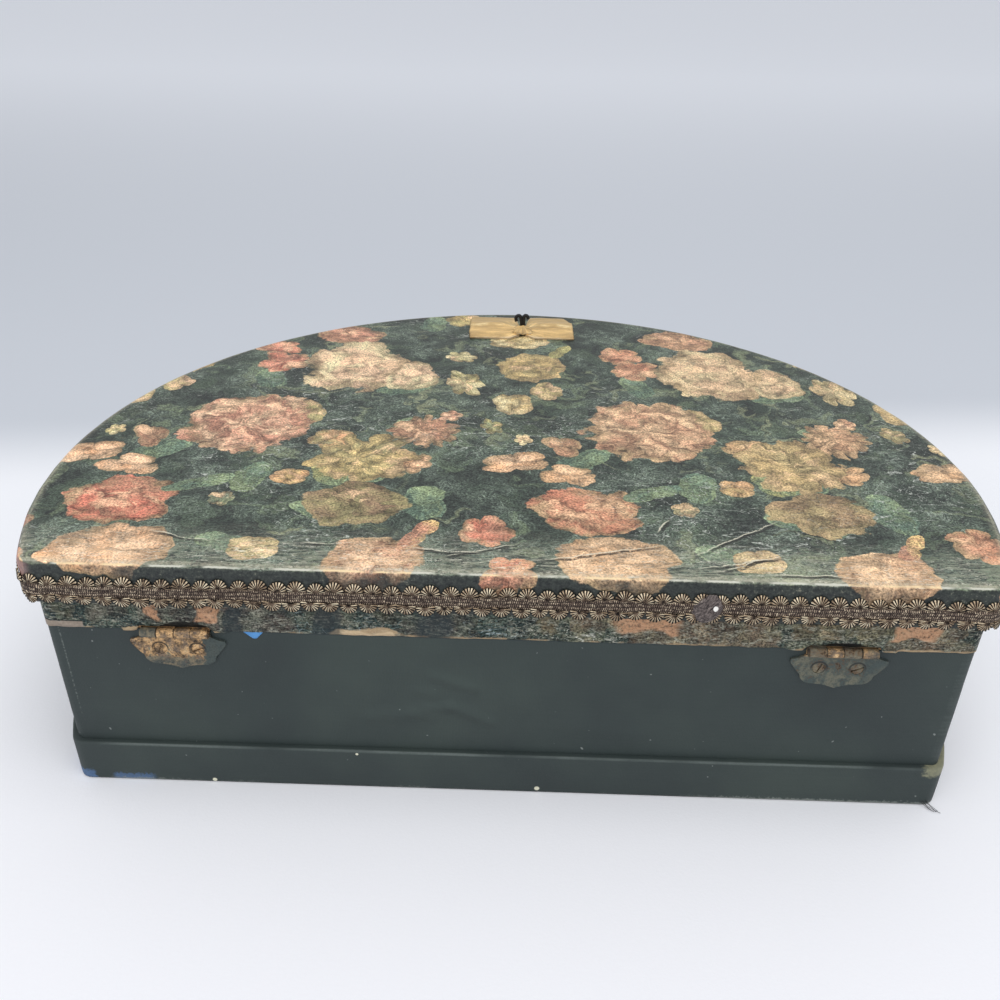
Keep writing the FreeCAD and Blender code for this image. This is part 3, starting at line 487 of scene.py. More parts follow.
def print_flowers(finish, sheet, lean, bend, ground):
    """The printed flowers over the ground, layer by layer, and where they lie."""
    rough = finish.cloud(sheet, 330, 3.0, 0.7)
    grain = finish.cloud(sheet, 760, 4.0, 0.75)
    warm = finish.cloud(sheet, 74, 3.0, 0.6)
    across, _, _ = finish.parts(finish.place())
    aged = across.step(0.03, -0.05) * 0.34 + 0.12
    bloom = 0.0
    for index in range(LAYERS):
        u, v, seed = finish.parts(finish.stored(f"place_{index}"))
        petals, cut, rings = finish.parts(finish.stored(f"form_{index}"))
        u = u + (lean - 0.5) * 0.8
        v = v + (bend - 0.5) * 0.8
        reach = (u * u + v * v) ** 0.5
        turn = v.work("ARCTAN2", v, u)
        leaf = petals < 2.5
        lobe = turn * petals * 0.5 + seed
        lobe = abs(lobe.work("COSINE", lobe))
        ragged = (rough - 0.5) * 0.18 + (grain - 0.5) * 0.07
        depth = 1.02 - cut * (1.0 - lobe ** 0.6) + ragged - reach
        inside = depth.step(0.0, 0.05)
        spokes = finish.joined(u / (reach + 0.02) * 5.0, v / (reach + 0.02) * 5.0,
                               reach * 1.3 + seed)
        vein = finish.cloud(spokes, 1.9, 4.0, 0.75)
        cell, tone, hue, _ = finish.cells(finish.joined(
            turn * petals * 0.16 + ragged * 0.6, reach * rings * 1.4 + ragged, seed), 0.8)
        blend = (tone * 0.8 + (vein - 0.5) * 2.0 + (warm - 0.5) * 3.4 + 0.05).clamp()
        petal = finish.mix(blend, finish.stored(f"petal_{index}"), finish.stored(f"blush_{index}"))
        core = ((bend - 0.5) * 2.6 + (vein - 0.5) * 1.6 + (hue - 0.5) * 0.9).step(0.14, 0.62)
        petal = finish.stain(petal, core * (1.0 - leaf) * 0.62, GLOW)
        rim = depth.step(0.42, 0.04) * (lean * 1.3 + vein * 0.9 + hue * 0.25).step(1.00, 1.40)
        petal = finish.stain(petal, rim * (1.0 - leaf) * 0.85, RUST)
        petal = finish.stain(petal, aged * (1.0 - leaf), TAN)
        rib = abs(u).step(0.09, 0.0) * leaf * 0.28
        fold = cell.step(0.40, 0.66) * (1.0 - leaf) * 0.32
        shade = (1.18 - cell * 0.40 - fold + rib + (hue - 0.5) * 0.30
                 + (vein - 0.5) * (reach * 1.5 + 0.4) + (rough - 0.5) * 1.2
                 + (lobe - 0.5) * reach * 0.30 - leaf * 0.16)
        petal = finish.light(shade, petal)
        ground = finish.mix(inside * 0.97, ground, petal)
        bloom = inside.work("MAXIMUM", bloom, inside * (1.0 - leaf))
    return ground, bloom, grain


def foliage(finish, sheet, ground, scale, turn, seed, share):
    """Dim leaves and stalks, all leaning one way, brushed over the ground."""
    laid = finish.moved(sheet, scale, turn, (seed, seed, 0))
    drawn = finish.cloud(laid, 1.6, 2.0)
    laid = finish.shifted(laid, drawn * 1.1, drawn * 1.7)
    cell, tone, _, chance = finish.cells(laid, 1.0)
    leaf = cell.step(0.50, 0.30) * chance.step(share, share + 0.08)
    colour = finish.ramp(tone, (0.0, (44, 54, 47)), (0.4, (67, 81, 67)), (0.75, (103, 117, 91)),
                         (1.0, (146, 150, 117)))
    rib = abs(cell - 0.2).step(0.08, 0.0)
    veins = finish.cloud(laid, 6.0, 3.0, 0.8)
    return finish.mix(leaf * (veins * 1.5 + rib * 0.3 - 0.30).clamp(), ground, colour)


def floral_ground(finish, sheet, bent):
    """The print's dark ground: blue-black patches under green leaves and pale ferny strokes."""
    patch = finish.cloud(sheet, 48, 4.0, 0.65)
    strokes = finish.strokes(bent, (100, 560, 1), 34, 4.0, 0.75, 0.8)
    brushes = finish.strokes(bent, (420, 90, 1), -32, 4.0, 0.75, 1.0)
    ground = finish.ramp(patch * 0.8 + strokes * 0.6 + brushes * 0.5 - 0.45,
                         (0.26, (28, 33, 33)), (0.42, (44, 51, 46)), (0.56, (69, 80, 70)),
                         (0.72, (104, 116, 98)), (0.90, (147, 152, 130)))
    for scale, turn, seed, share in (((38, 86, 1), 32, 3.1, 0.40), ((90, 40, 1), -14, 7.7, 0.45),
                                     ((60, 150, 1), 64, 1.9, 0.55), ((130, 52, 1), 18, 5.3, 0.55)):
        ground = foliage(finish, bent, ground, scale, turn, seed, share)
    for scale, turn in (((60, 330, 1), 52), ((300, 70, 1), 24)):
        hair = abs(finish.strokes(bent, scale, turn, 3.0, 0.6, 0.6) - 0.5)
        ground = finish.stain(ground, hair.step(0.022, 0.0) * patch.step(0.46, 0.60) * 0.55,
                              (150, 164, 148))
    return ground


def floral_paper(name, faded, gloss, edge):
    """Paper printed with flowers on a dark ground, with a soft gloss, rubbed and scratched."""
    finish = Finish(name, gloss)
    sheet = finish.sheet()
    lean, bend, _ = finish.parts(finish.node(
        "ShaderNodeTexNoise", None, {"Vector": sheet, "Scale": 85.0, "Detail": 2.0}, 1))
    bent = finish.shifted(sheet, (lean - 0.5) * 0.030, (bend - 0.5) * 0.034)
    ground, bloom, grain = print_flowers(finish, sheet, lean, bend,
                                         floral_ground(finish, sheet, bent))
    speckle = finish.cloud(sheet, 1300, 1.0, 0.7)
    threads = finish.strokes(bent, (330, 1300, 1), 22, 3.0, 0.75)
    haze = finish.cloud(sheet, 16, 3.0)
    drift = finish.cloud(sheet, 85, 2.0)
    murk = finish.ramp(finish.cloud(sheet, 120, 4.0, 0.75), (0.34, (24, 31, 32)),
                       (0.47, (46, 56, 53)), (0.56, (76, 82, 70)), (0.68, (126, 124, 104)))
    colour = finish.mix(faded, ground, murk)
    grit = 1.04 + ((speckle - 0.5) * (3.4 + faded * 3.0) + (grain - 0.5) * 1.2
                   + (threads - 0.5) * 2.8) * (1.0 - bloom * 0.25)
    colour = finish.light(grit.work("MAXIMUM", grit, 0.32), colour)
    chips = finish.cloud(sheet, 900, 2.0, 0.7).step(0.62, 0.70) * haze.step(0.44, 0.60)
    line = abs(finish.strokes(sheet, (70, 150, 1), 15, 2.0, 0.5, 0.9) - 0.5)
    scratch = line.step(0.013, 0.0) * haze.step(0.46, 0.60) * grain.step(0.40, 0.56)
    colour = finish.stain(colour, (scratch * 0.85 + chips * 0.55) * (1.0 - bloom * 0.7),
                          (214, 218, 208))
    colour, wear = edge(finish, colour, sheet, grain, drift, bloom)
    relief = speckle * 0.35 + threads * 0.4 + drift * 0.4 + scratch * 0.4 + grain * 0.4
    return finish.surface(colour, 0.46 + (grain - 0.5) * 0.4 + wear * 0.2, relief, 0.00024)


def on_back(along):
    """1 on the flat back and 0 on the rest of the outline."""
    return along.step(0.05, 0.06)


# Long creases in the lid's paper, each from one place to another
LID_CREASES = (
    (-0.0560, 0.0585, -0.0920, 0.0330), (-0.0575, 0.0640, -0.0885, 0.0560),
    (-0.0620, 0.0662, -0.0880, 0.0545), (-0.0490, 0.0440, -0.0540, 0.0350),
    (-0.0780, 0.0655, -0.1060, 0.0668), (0.0220, 0.0610, -0.0030, 0.0525),
    (0.0330, 0.0570, 0.0080, 0.0580), (-0.0060, 0.0625, -0.0520, 0.0505),
    (0.0680, 0.0560, 0.0500, 0.0540), (0.1180, 0.0500, 0.0950, 0.0560))


def crease(finish, colour, across, along, drift, grain, ends):
    """One crease: a pale line with a dark line of painted shade on its near side, both dying away
    at its ends.
    """
    (x0, y0), (x1, y1) = sorted((ends[:2], ends[2:]))
    length = math.hypot(x1 - x0, y1 - y0)
    run = ((across - x0) * (x1 - x0) + (along - y0) * (y1 - y0)) / length ** 2
    aside = ((along - y0) * (x1 - x0) - (across - x0) * (y1 - y0)) / length
    aside = aside + (drift - 0.5) * 0.005 + (grain - 0.5) * 0.0010
    taper = (run * (1.0 - run) * 5.0).clamp() * (grain + drift * 0.6).step(0.62, 0.80)
    pale = abs(aside).step(0.00036, 0.00014) * taper
    # The dark line is painted shade on the crease's near side.
    dark = abs(aside - 0.00105).step(0.00080, 0.00040) * taper
    colour = finish.stain(colour, dark * 0.85, (30, 30, 27))
    return finish.stain(colour, pale * 0.80, (224, 218, 196))


def ridge_wear(finish, colour, sheet, grain, drift, bloom):
    """The lid's edge: dark paper with painted shade down the side, painted sheen near the ridge, a
    rubbed arris and creases along the back with painted shade beside them.
    """
    across, along, height = finish.parts(finish.place())
    nudge = grain - 0.5
    patch = finish.strokes(sheet, (30, 30, 1))
    creases = finish.strokes(sheet, (80, 420, 1), 4, 4.0, 0.75, 2.4)
    # Painted sheen: near the back ridge the paper is made lighter and crossed by pale streaks of
    # sheen.
    near = along.step(0.042, 0.064) * height.step(LID_TOP - 0.0013, LID_TOP - 0.0007)
    pale = finish.stain(finish.between(drift, (140, 148, 130), (186, 186, 160)), bloom,
                        (240, 200, 156))
    colour = finish.light(1.0 + near * (0.24 - bloom * 0.14), colour)
    colour = finish.mix(near * creases.step(0.42, 0.62) * 0.58, colour, pale)
    # Folds near the ridge: a pale line with a dark line of painted shade beside it.
    fold = abs(finish.strokes(sheet, (50, 520, 1), 2, 3.0, 0.6, 0.8) - 0.5)
    colour = finish.stain(colour, near * fold.step(0.016, 0.0) * grain.step(0.44, 0.52) * 0.8,
                          (236, 232, 214))
    fold = near * abs(fold - 0.03).step(0.010, 0.0)
    colour = finish.stain(colour, fold * grain.step(0.42, 0.54) * 0.55, (52, 52, 46))
    for ends in LID_CREASES:
        colour = crease(finish, colour, across, along, drift, grain, ends)
    arris = abs(height - LID_TOP + 0.00065 + nudge * 0.0004).step(0.00030, 0.00012)
    colour = finish.stain(colour, arris * near * (patch * 0.4 + drift).step(0.60, 0.74) * 0.85,
                          (214, 214, 200), (250, 222, 172), bloom)
    # Painted shade down the lid's side, over the print's dark ground; flowers show through it in
    # places.
    side = (height + nudge * 0.0012).step(LID_TOP - 0.0008, LID_TOP - 0.0013)
    colour = finish.stain(colour, side * (0.92 - bloom * patch.step(0.62, 0.46) * 0.80),
                          (20, 24, 28), (60, 66, 62), grain.step(0.3, 0.7))
    colour = finish.stain(colour, side * grain.step(0.58, 0.66) * patch.step(0.44, 0.56) * 0.5,
                          (150, 146, 128))
    corner = (across - 0.1475).step(0.0, 0.004) * along.step(0.040, 0.050) * side
    colour = finish.stain(colour, corner * 0.75, (104, 84, 84), (186, 152, 148), grain)
    rubbed = finish.stored("rub", "Fac") * (patch * 0.9 + grain * 2.4 - 1.15).clamp()
    return finish.stain(colour, rubbed * 0.8, (196, 190, 168)), rubbed


def torn_edge(finish, colour, sheet, grain, drift, bloom):
    """The band's lower edge, worn back to the cream of the paper in patches."""
    across, along, height = finish.parts(finish.place())
    nudge, wander = grain - 0.5, drift - 0.5
    back = on_back(along)
    left = across.step(-0.012, 0.004) * back
    colour = finish.light(left * -0.30 + 1.06, colour)
    colour = finish.node("ShaderNodeVectorMath", {"operation": "MULTIPLY"}, {
        0: colour, 1: finish.joined(1.10 - left * 0.28, 1.06 - left * 0.08, left * 0.10 + 1.02)})
    creases = finish.strokes(sheet, (120, 460, 1), 24, 4.0, 0.75, 2.0)
    colour = finish.stain(colour, creases.step(0.56, 0.66) * 0.4, (136, 132, 112))
    for turn in (38, -28):
        hair = abs(finish.strokes(sheet, (70, 300, 1), turn, 3.0, 0.6) - 0.5)
        colour = finish.stain(colour, hair.step(0.020, 0.004) * grain.step(0.42, 0.56) * 0.6,
                              (172, 172, 156))
    patch = finish.strokes(sheet, (26, 10, 1), 0.0, 2.0)
    lifted = height - (patch - 0.60).clamp() * 0.02 + nudge * 0.0026
    worn = lifted.step(0.0680, 0.0674) * (patch + wander).step(0.46, 0.56)
    colour = finish.stain(colour, worn * 0.85, (132, 108, 80), (222, 196, 158), grain)
    cream = (abs(across - 0.0470) + wander * 0.010).step(0.0095, 0.0085) * back * (
        height + wander * 0.006 - (across - 0.0470) * 0.10 + nudge * 0.0016).step(0.0694, 0.0688)
    colour = finish.stain(colour, cream * 0.85, (176, 146, 110), (236, 216, 180), grain)
    # Painted shadow: a dark arch above each hinge's barrel, under the raised band paper.
    for centre, rise in ((0.1045, 0.0022), (-0.1075, 0.0014)):
        aside = (across - centre) / 0.0084
        arch_shadow = (height + aside * aside * rise + nudge * 0.0008).step(
            0.0694 + rise, 0.0690 + rise)
        colour = finish.stain(colour, arch_shadow * abs(aside).step(1.05, 0.95) * back * 0.92,
                              (20, 19, 18))
    for centre, width, low in ((0.0968, 0.0042, 0.0712), (-0.0445, 0.0110, 0.0715),
                               (-0.1290, 0.0080, 0.0710), (0.1140, 0.0014, 0.0730)):
        spot = (abs(across - centre + wander * 0.012) + nudge * 0.003).step(width, width * 0.7)
        spot = spot * back * (height + wander * 0.010).step(low - 0.0006, low + 0.0006)
        colour = finish.stain(colour, spot * grain.step(0.30, 0.54) * 0.75, (164, 120, 92),
                              (236, 184, 142), grain)
    for centre, width in ((0.0880, 0.0030), (0.0580, 0.0050), (0.0240, 0.0070)):
        spot = (abs(across - centre + wander * 0.010) + nudge * 0.003).step(width, width * 0.6)
        colour = finish.stain(colour, spot * back * 0.7, (20, 26, 34), (66, 78, 80), grain)
    strip = across.step(0.1375, 0.1380) * back
    tear = strip * (height + nudge * 0.001).step(0.0697, 0.0694)
    colour = finish.stain(colour, tear * 0.9, (104, 94, 84), (188, 172, 156), grain)
    split = strip * abs(height - 0.0698 + wander * 0.001).step(0.0003, 0.0001)
    return finish.stain(colour, split * 0.85, (30, 30, 28)), worn


def leaf_bump(across, height):
    """How far the band paper is raised over the lid leaves: 1 over them and 0 clear of them."""
    aside = abs(abs(across) - HINGE_PLACE) / HINGE_HALF_WIDTH
    rise = (height - JOINT) / LID_LEAF_HEIGHT
    reach = 1.05 if rise < 0.45 else 1.05 - 0.78 * ((rise - 0.45) / 0.6) ** 1.6
    return smooth((reach - aside) / 0.10 + 1.0)


# The share of the lid paper's rows that lies over the rim, and where its other rows shrink to
RIM_SHARE = 0.22
LID_MIDDLE = Vector((0.0, -0.048))


def rubbed_near(way, middle):
    """How rubbed a sheet is at a way along it, round the middle of a bend."""
    return smooth(1 - abs(way - middle) / 0.0014)


def make_lid_top_paper():
    rim = 0.0029
    flat_out = SLAB_OUT - rim
    bend = rim * math.pi / 2
    side = LID_TOP - rim - BAND_TOP

    def lay(share, across):
        point, outward = on_outline(share, flat_out)
        if across > RIM_SHARE:
            inward = 1 - (across - RIM_SHARE) / (1 - RIM_SHARE)
            flat = spot = LID_MIDDLE + (point - LID_MIDDLE) * inward ** 0.9
            height, rub = LID_TOP, 0.0
        else:
            way = (RIM_SHARE - across) / RIM_SHARE * (bend + side)
            turn = min(way / rim, math.pi / 2)
            spot = point + outward * rim * math.sin(turn)
            height = LID_TOP - rim * (1 - math.cos(turn)) - max(way - bend, 0.0)
            flat = point + outward * way
            rub = rubbed_near(way, 0.0010)
        back = smooth((point.y - 0.055) / 0.012)
        wave = 0.00016 * ripple(spot.x, spot.y, 0, 0.03, 3.1)
        fold = ripple(spot.x * 0.18, spot.y, 0, 0.0042, 5.7)
        near = smooth(1 - abs(spot.y - 0.058) / 0.014) if spot.y < 0.0745 else 0.0
        lift = wave + 0.00022 * near * back * max(fold, -0.3) if across > 0.16 else 0.0
        if across < 0.2:
            puff = outward * (0.00025 * ripple(spot.x, spot.y, height, 0.012, 9.3))
            spot = spot + puff * smooth((height - BAND_TOP) / 0.004)
        return Vector((spot.x, spot.y, height + lift)), flat, rub

    paper = floral_paper("floral_paper_top", 0.04, 0.34, ridge_wear)
    piece = finish_piece("lid_top_skin", skin(420, 110, lay), paper, "lid",
                         "lid_top_paper")
    plant_flowers(piece.data)


def make_band_paper():
    def lay(share, across):
        point, outward = on_outline(share, BAND_OUT)
        over_barrel = 0.0
        if point.y > BACK:
            over_barrel = smooth((0.0128 - abs(abs(point.x) - HINGE_PLACE)) / 0.0015)
        ragged = 0.00035 * ripple(point.x, point.y, 0, 0.004, 2.0)
        low = JOINT + 0.0002 + ragged + over_barrel * 0.0021
        height = low + (BAND_TOP - low) * across
        bump = leaf_bump(point.x, height) if point.y > BACK else 0.0
        puff = 0.00018 * ripple(point.x, point.y, height, 0.011, 4.4) * (1 - bump)
        spot = point + outward * (0.00098 * bump + puff)
        flat = Vector((share * outline_length(BAND_OUT) + 0.013, height - 0.096))
        return Vector((spot.x, spot.y, height)), flat, smooth(1 - across * 6)

    paper = floral_paper("floral_paper_band", 0.88, 0.12, torn_edge)
    piece = finish_piece("lid_band_skin", skin(900, 10, lay), paper, "lid",
                         "lid_band_paper")
    plant_flowers(piece.data)
    thicken(piece, 0.0003)


# ---- bookcloth --------------------------------------------------------------------------


def wall_corner_highlight(finish, colour, fade, grain):
    """A painted highlight: a pale line beside the left corner, where the rounded corner catches
    the light.
    """
    across, along, height = finish.parts(finish.place())
    line = abs(across - 0.1464 + (fade - 0.5) * 0.002).step(0.0004, 0.0001)
    line = line * on_back(along) * height.step(0.024, 0.040)
    return finish.stain(colour, line * grain.step(0.44, 0.62) * 0.32, (150, 158, 152))


def plinth_marks(finish, colour, fade, grain):
    """Blue paint along the left foot, a worn right corner and a few drops."""
    across, along, height = finish.parts(finish.place())
    nudge = grain - 0.5
    back = on_back(along)
    low = height + nudge * 0.005
    streak = across.step(0.1235, 0.1270) * across.step(0.1405, 0.1385) * low.step(0.0034, 0.0024)
    corner = (across + nudge * 0.003).step(0.1455, 0.1470) * low.step(0.0048, 0.0030)
    colour = finish.stain(colour, back * (streak * 0.6 + corner * 0.7).clamp(), (56, 84, 128),
                          (104, 140, 184), grain)
    right = across * -1.0 + nudge * 0.006
    ragged = height + nudge * 0.004
    bare = back * right.step(0.1440, 0.1470) * ragged.step(0.0130, 0.0146)
    colour = finish.stain(colour, bare * 0.75, (104, 106, 92), (170, 168, 132), grain)
    foot = fade.work("MAXIMUM", fade.step(0.48, 0.6), right.step(0.10, 0.13))
    foot = foot * back * ragged.step(0.0014, 0.0008)
    colour = finish.stain(colour, foot * 0.55, (140, 146, 140))
    for x, z, radius in ((-0.0118, 0.0020, 0.0009), (0.1034, 0.0012, 0.0008),
                         (0.0515, 0.0158, 0.0005)):
        drop = ((across - x) ** 2.0 + (height - z) ** 2.0) ** 0.5
        colour = finish.stain(colour, back * drop.step(radius * 1.2, radius * 0.8),
                              (222, 220, 196))
    return colour


def bookcloth(name, marks):
    """Fine dark green bookcloth, stretched and glued, a little faded and bubbled."""
    finish = Finish(name, 0.35)
    sheet = finish.sheet()
    weave = (finish.ribs(sheet, "X", 620.0, 1.2, 1.0) * 0.5
             + finish.ribs(sheet, "Y", 700.0, 1.2, 1.0) * 0.5)
    fade = finish.cloud(finish.place(), 9, 4.0, 0.6)
    slub = finish.strokes(sheet, (40, 900, 1))
    grain = finish.cloud(sheet, 900, 3.0, 0.6)
    colour = finish.ramp(fade, (0.32, (43, 51, 52)), (0.5, (50, 60, 59)), (0.68, (60, 71, 67)))
    colour = finish.light(0.86 + weave * 0.10 + slub * 0.12 + grain * 0.06, colour)
    fleck = finish.cloud(sheet, 430, 1.0).step(0.765, 0.80)
    colour = finish.stain(colour, fleck * 0.45, (170, 176, 172))
    rub = finish.stored("rub", "Fac") * (0.3 + slub * 0.9 + grain * 0.5) - 0.45
    colour = finish.stain(colour, rub.clamp() * fade.step(0.44, 0.58) * 0.75, (130, 140, 136))
    # Painted light and shade on the creases: lighter on their upper sides, darker on their lower
    # ones.
    colour = finish.light(1.0 + finish.stored("crease", "Fac") * (0.6 + grain * 0.8), colour)
    colour = marks(finish, colour, fade, grain)
    relief = weave * 0.7 + grain * 0.6 + slub * 0.4
    return finish.surface(colour, 0.50 + grain * 0.18, relief, 0.00009)


# Creases of the back's cloth: where they start and end, how high and how wide they are
CLOTH_CREASES = (
    (0.0245, 0.0506, 0.0110, 0.0458, 0.00060, 0.0021),
    (0.0265, 0.0362, 0.0180, 0.0376, 0.00070, 0.0022),
    (0.0180, 0.0376, 0.0050, 0.0310, 0.00065, 0.0022),
    (0.0460, 0.0318, 0.0310, 0.0340, 0.00045, 0.0026),
    (0.0310, 0.0340, 0.0250, 0.0322, 0.00040, 0.0024),
    (0.0290, 0.0440, 0.0240, 0.0424, 0.00035, 0.0022),
    (-0.020, 0.0300, -0.045, 0.0275, 0.00030, 0.0040),
)


def crease_height(x, z, x0, z0, x1, z1, height, width):
    """How far a crease of the cloth stands out at a point of the back."""
    run = Vector((x1 - x0, z1 - z0))
    share = min(max((Vector((x - x0, z - z0)) @ run) / run.length_squared, 0.0), 1.0)
    gap = math.hypot(x - x0 - share * run.x, z - z0 - share * run.y)
    return height * math.exp(-(gap / width) ** 2)


def make_wall_cloth(cloth):
    def lay(share, across):
        point, outward = on_outline(share, CLOTH_OUT)
        height = 0.0004 + (JOINT - 0.0008) * across
        clear = 1.0
        if point.y > BACK - 1e-6:
            beside = smooth((abs(abs(point.x) - HINGE_PLACE) - 0.016) / 0.012)
            clear = max(beside, smooth((0.046 - height) / 0.008))
        clear *= smooth((height - 0.017) / 0.006) * smooth((0.0668 - height) / 0.003)
        wave = ripple(point.x, point.y, height, 0.035, 1.2) + 0.4 * ripple(
            point.x * 0.5, point.y, height * 1.6, 0.012, 6.1)
        proud = clear * 0.00014 * wave
        if point.y > 0:
            proud += sum(crease_height(point.x, height, *row) for row in CLOTH_CREASES)
        spot = point + outward * proud
        flat = Vector((share * outline_length(CLOTH_OUT), height))
        corner = Vector((math.copysign(CORNER.x, point.x), CORNER.y))
        rub = 0.5 * smooth(1 - abs((point - corner).length - CORNER_RADIUS) / 0.002)
        return Vector((spot.x, spot.y, height)), flat, rub

    piece = finish_piece("wall_cloth_skin", skin(720, 44, lay), cloth, "base",
                         "wall_cloth")
    # The creases' painted light and shade: positive on their upper sides, drawn lighter, and
    # negative on their lower sides, drawn darker.
    shade = piece.data.attributes.new("crease", "FLOAT", "POINT")
    for vert, value in zip(piece.data.vertices, shade.data):
        if vert.co.y > BACK - 0.001:
            value.value = 300 * sum(
                crease_height(vert.co.x, vert.co.z - 0.0009, *row)
                - crease_height(vert.co.x, vert.co.z + 0.0009, *row) for row in CLOTH_CREASES)


def make_plinth_cloth(cloth):
    edge = 0.0006

    def lay(share, across):
        rise = PLINTH_TOP - 0.0004 - edge
        bend, ledge = edge * math.pi / 2, PLINTH_OUT - edge - 0.00002
        way = across * (rise + bend + ledge)
        if way < rise:
            out, height = PLINTH_OUT, 0.0004 + way
        elif way < rise + bend:
            turn = (way - rise) / edge
            out = PLINTH_OUT - edge * (1 - math.cos(turn))
            height = PLINTH_TOP - edge * (1 - math.sin(turn))
        else:
            out, height = PLINTH_OUT - edge - (way - rise - bend), PLINTH_TOP
        point, outward = on_outline(share, out)
        puff = 0.00012 * ripple(point.x, point.y, height, 0.02, 2.7) * smooth(height / 0.004) * (
            smooth((PLINTH_OUT - 0.0001 - abs(out - PLINTH_OUT)) / 0.001))
        spot = point + outward * puff
        flat = Vector((share * outline_length(CLOTH_OUT) + 1.3, way))
        return (Vector((spot.x, spot.y, height + puff * 0.4)), flat,
                rubbed_near(way, rise + bend * 0.4))

    finish_piece("plinth_cloth_skin", skin(720, 30, lay), cloth, "base",
                 "plinth_cloth")


# ---- gimp braid -------------------------------------------------------------------------


def gimp_thread(name):
    """Dark bronze thread with cream and gold glints along each strand."""
    finish = Finish(name, 0.12)
    strand, across, _ = finish.parts(finish.sheet())
    place = finish.place()
    ray = strand * 9.0
    level = ray.work("FLOOR", ray)
    thread = abs(ray.work("FRACT", ray) - 0.5).step(0.22, 0.30)
    age = finish.cloud(place, 120, 3.0, 0.6)
    glint = finish.cloud(place, 800, 3.0, 0.75)
    dark = finish.between(age, (14, 12, 12), (44, 36, 33))
    x, y, _ = finish.parts(place)
    chance = finish.cloud(finish.joined(level * 0.83, x * 70.0, y * 70.0), 1.0, 1.0)
    light = finish.ramp(glint * 0.7 + age * 0.1 + chance * 0.8 - 0.30, (0.30, (82, 68, 58)),
                        (0.46, (190, 166, 136)), (0.62, (255, 240, 208)))
    shown = across.step(0.22, 0.34)
    colour = finish.mix(thread * shown, dark, light)
    colour = finish.stain(colour, across.step(0.44, 0.26), (40, 34, 32), (138, 118, 100),
                          glint.step(0.38, 0.60))
    relief = thread * 0.8 + glint * 0.4
    return finish.surface(colour, 0.55 - glint * 0.2, relief, 0.00018, thread * 0.2)


def gimp_weave(name):
    """The braid's woven middle: short stitches in staggered rows."""
    finish = Finish(name, 0.12)
    along, height, _ = finish.parts(finish.sheet())
    place = finish.place()
    age = finish.cloud(place, 90, 3.0, 0.6)
    glint = finish.cloud(place, 1000, 3.0, 0.8)
    row = height * 760.0 + (age - 0.5) * 2.4
    level = row.work("FLOOR", row)
    row = abs(row - level - 0.5)
    stitch = along * 1500.0 + level * 0.37 + row * 0.5 + (age - 0.5) * 3.0
    stitch = abs(stitch - stitch.work("FLOOR", stitch) - 0.5)
    knot = stitch.step(0.44, 0.16) * row.step(0.50, 0.28)
    light = finish.ramp(glint * 0.85 + age * 0.15, (0.36, (74, 62, 56)), (0.50, (134, 116, 102)),
                        (0.62, (244, 224, 194)))
    colour = finish.mix(knot, finish.between(age, (28, 24, 24), (64, 54, 49)), light)
    slit = abs(height - 0.0057 + (glint - 0.5) * 0.0008).step(0.0006, 0.0002)
    colour = finish.stain(colour, slit * 0.45 * age.step(0.40, 0.55), (24, 20, 20))
    return finish.surface(colour, 0.6 - glint * 0.2, knot + glint * 0.5, 0.00025, knot * 0.15)


def knotted_braid(name):
    """The doubled end of the braid: soft grey-brown strands and a light speck of glue."""
    finish = Finish(name, 0.2)
    place = finish.place()
    across, _, height = finish.parts(place)
    sway = finish.cloud(place, 300, 2.0)
    strands = finish.strokes(finish.sheet(), (2600, 420, 1), 12, 3.0, 0.6, 0.8)
    fine = finish.cloud(place, 1500, 3.0, 0.7)
    colour = finish.ramp(strands * 0.6 + fine * 0.4, (0.38, (40, 36, 36)), (0.48, (84, 76, 74)),
                         (0.58, (120, 110, 106)), (0.68, (168, 158, 148)))
    speck = finish.node("ShaderNodeVectorMath", {"operation": "LENGTH"}, {
        0: finish.joined(across + 0.0642, height - 0.0853)}, output=1)
    colour = finish.stain(colour, (speck + (sway - 0.5) * 0.0016).step(0.0009, 0.0006),
                          (244, 242, 236))
    return finish.surface(colour, 0.7 - fine * 0.2, strands + fine * 0.4, 0.00025)


BRAID_BOTTOM, BRAID_HEIGHT = 0.0788, 0.0114
FAN_PITCH, FAN_RAYS = 0.0060, 18
FAN_REACH, FAN_HALF_WIDTH = 0.0036, 0.00305
FAN_HUB, FAN_RIDGE = 0.00042, 0.00030
WEAVE_MARGIN = 0.0030
BRAID_END = -0.0612


def fan_of_threads():
    """One scallop of the braid: a half disc of ridged threads, standing on its hub."""
    bm = bmesh.new()
    sheet = bm.loops.layers.uv.new("sheet")
    bmesh.ops.create_circle(bm, cap_ends=True, cap_tris=True, segments=FAN_RAYS * 2, radius=1.0)
    bmesh.ops.bisect_plane(bm, geom=bm.verts[:] + bm.edges[:] + bm.faces[:], dist=1e-5,
                           plane_co=(0, 0, 0), plane_no=(0, -1, 0), clear_outer=True)
    for face in bm.faces:
        middle = face.calc_center_median()
        bearing = math.atan2(middle.y, middle.x)
        for loop in face.loops:
            spot = loop.vert.co
            angle = bearing if spot.length < 0.1 else math.atan2(spot.y, spot.x)
            loop[sheet].uv = (angle / math.pi, spot.length)
    for vert in bm.verts:
        ray = round(math.atan2(vert.co.y, vert.co.x) / math.pi * FAN_RAYS)
        if vert.co.length < 0.1:
            vert.co = (0, 0, FAN_HUB)
            continue
        ridge = ray % 2
        vert.co *= 1.0 if ridge else 0.93
        vert.co = (vert.co.x * FAN_HALF_WIDTH, vert.co.y * FAN_REACH,
                   FAN_RIDGE if ridge else 0.0)
    return bm


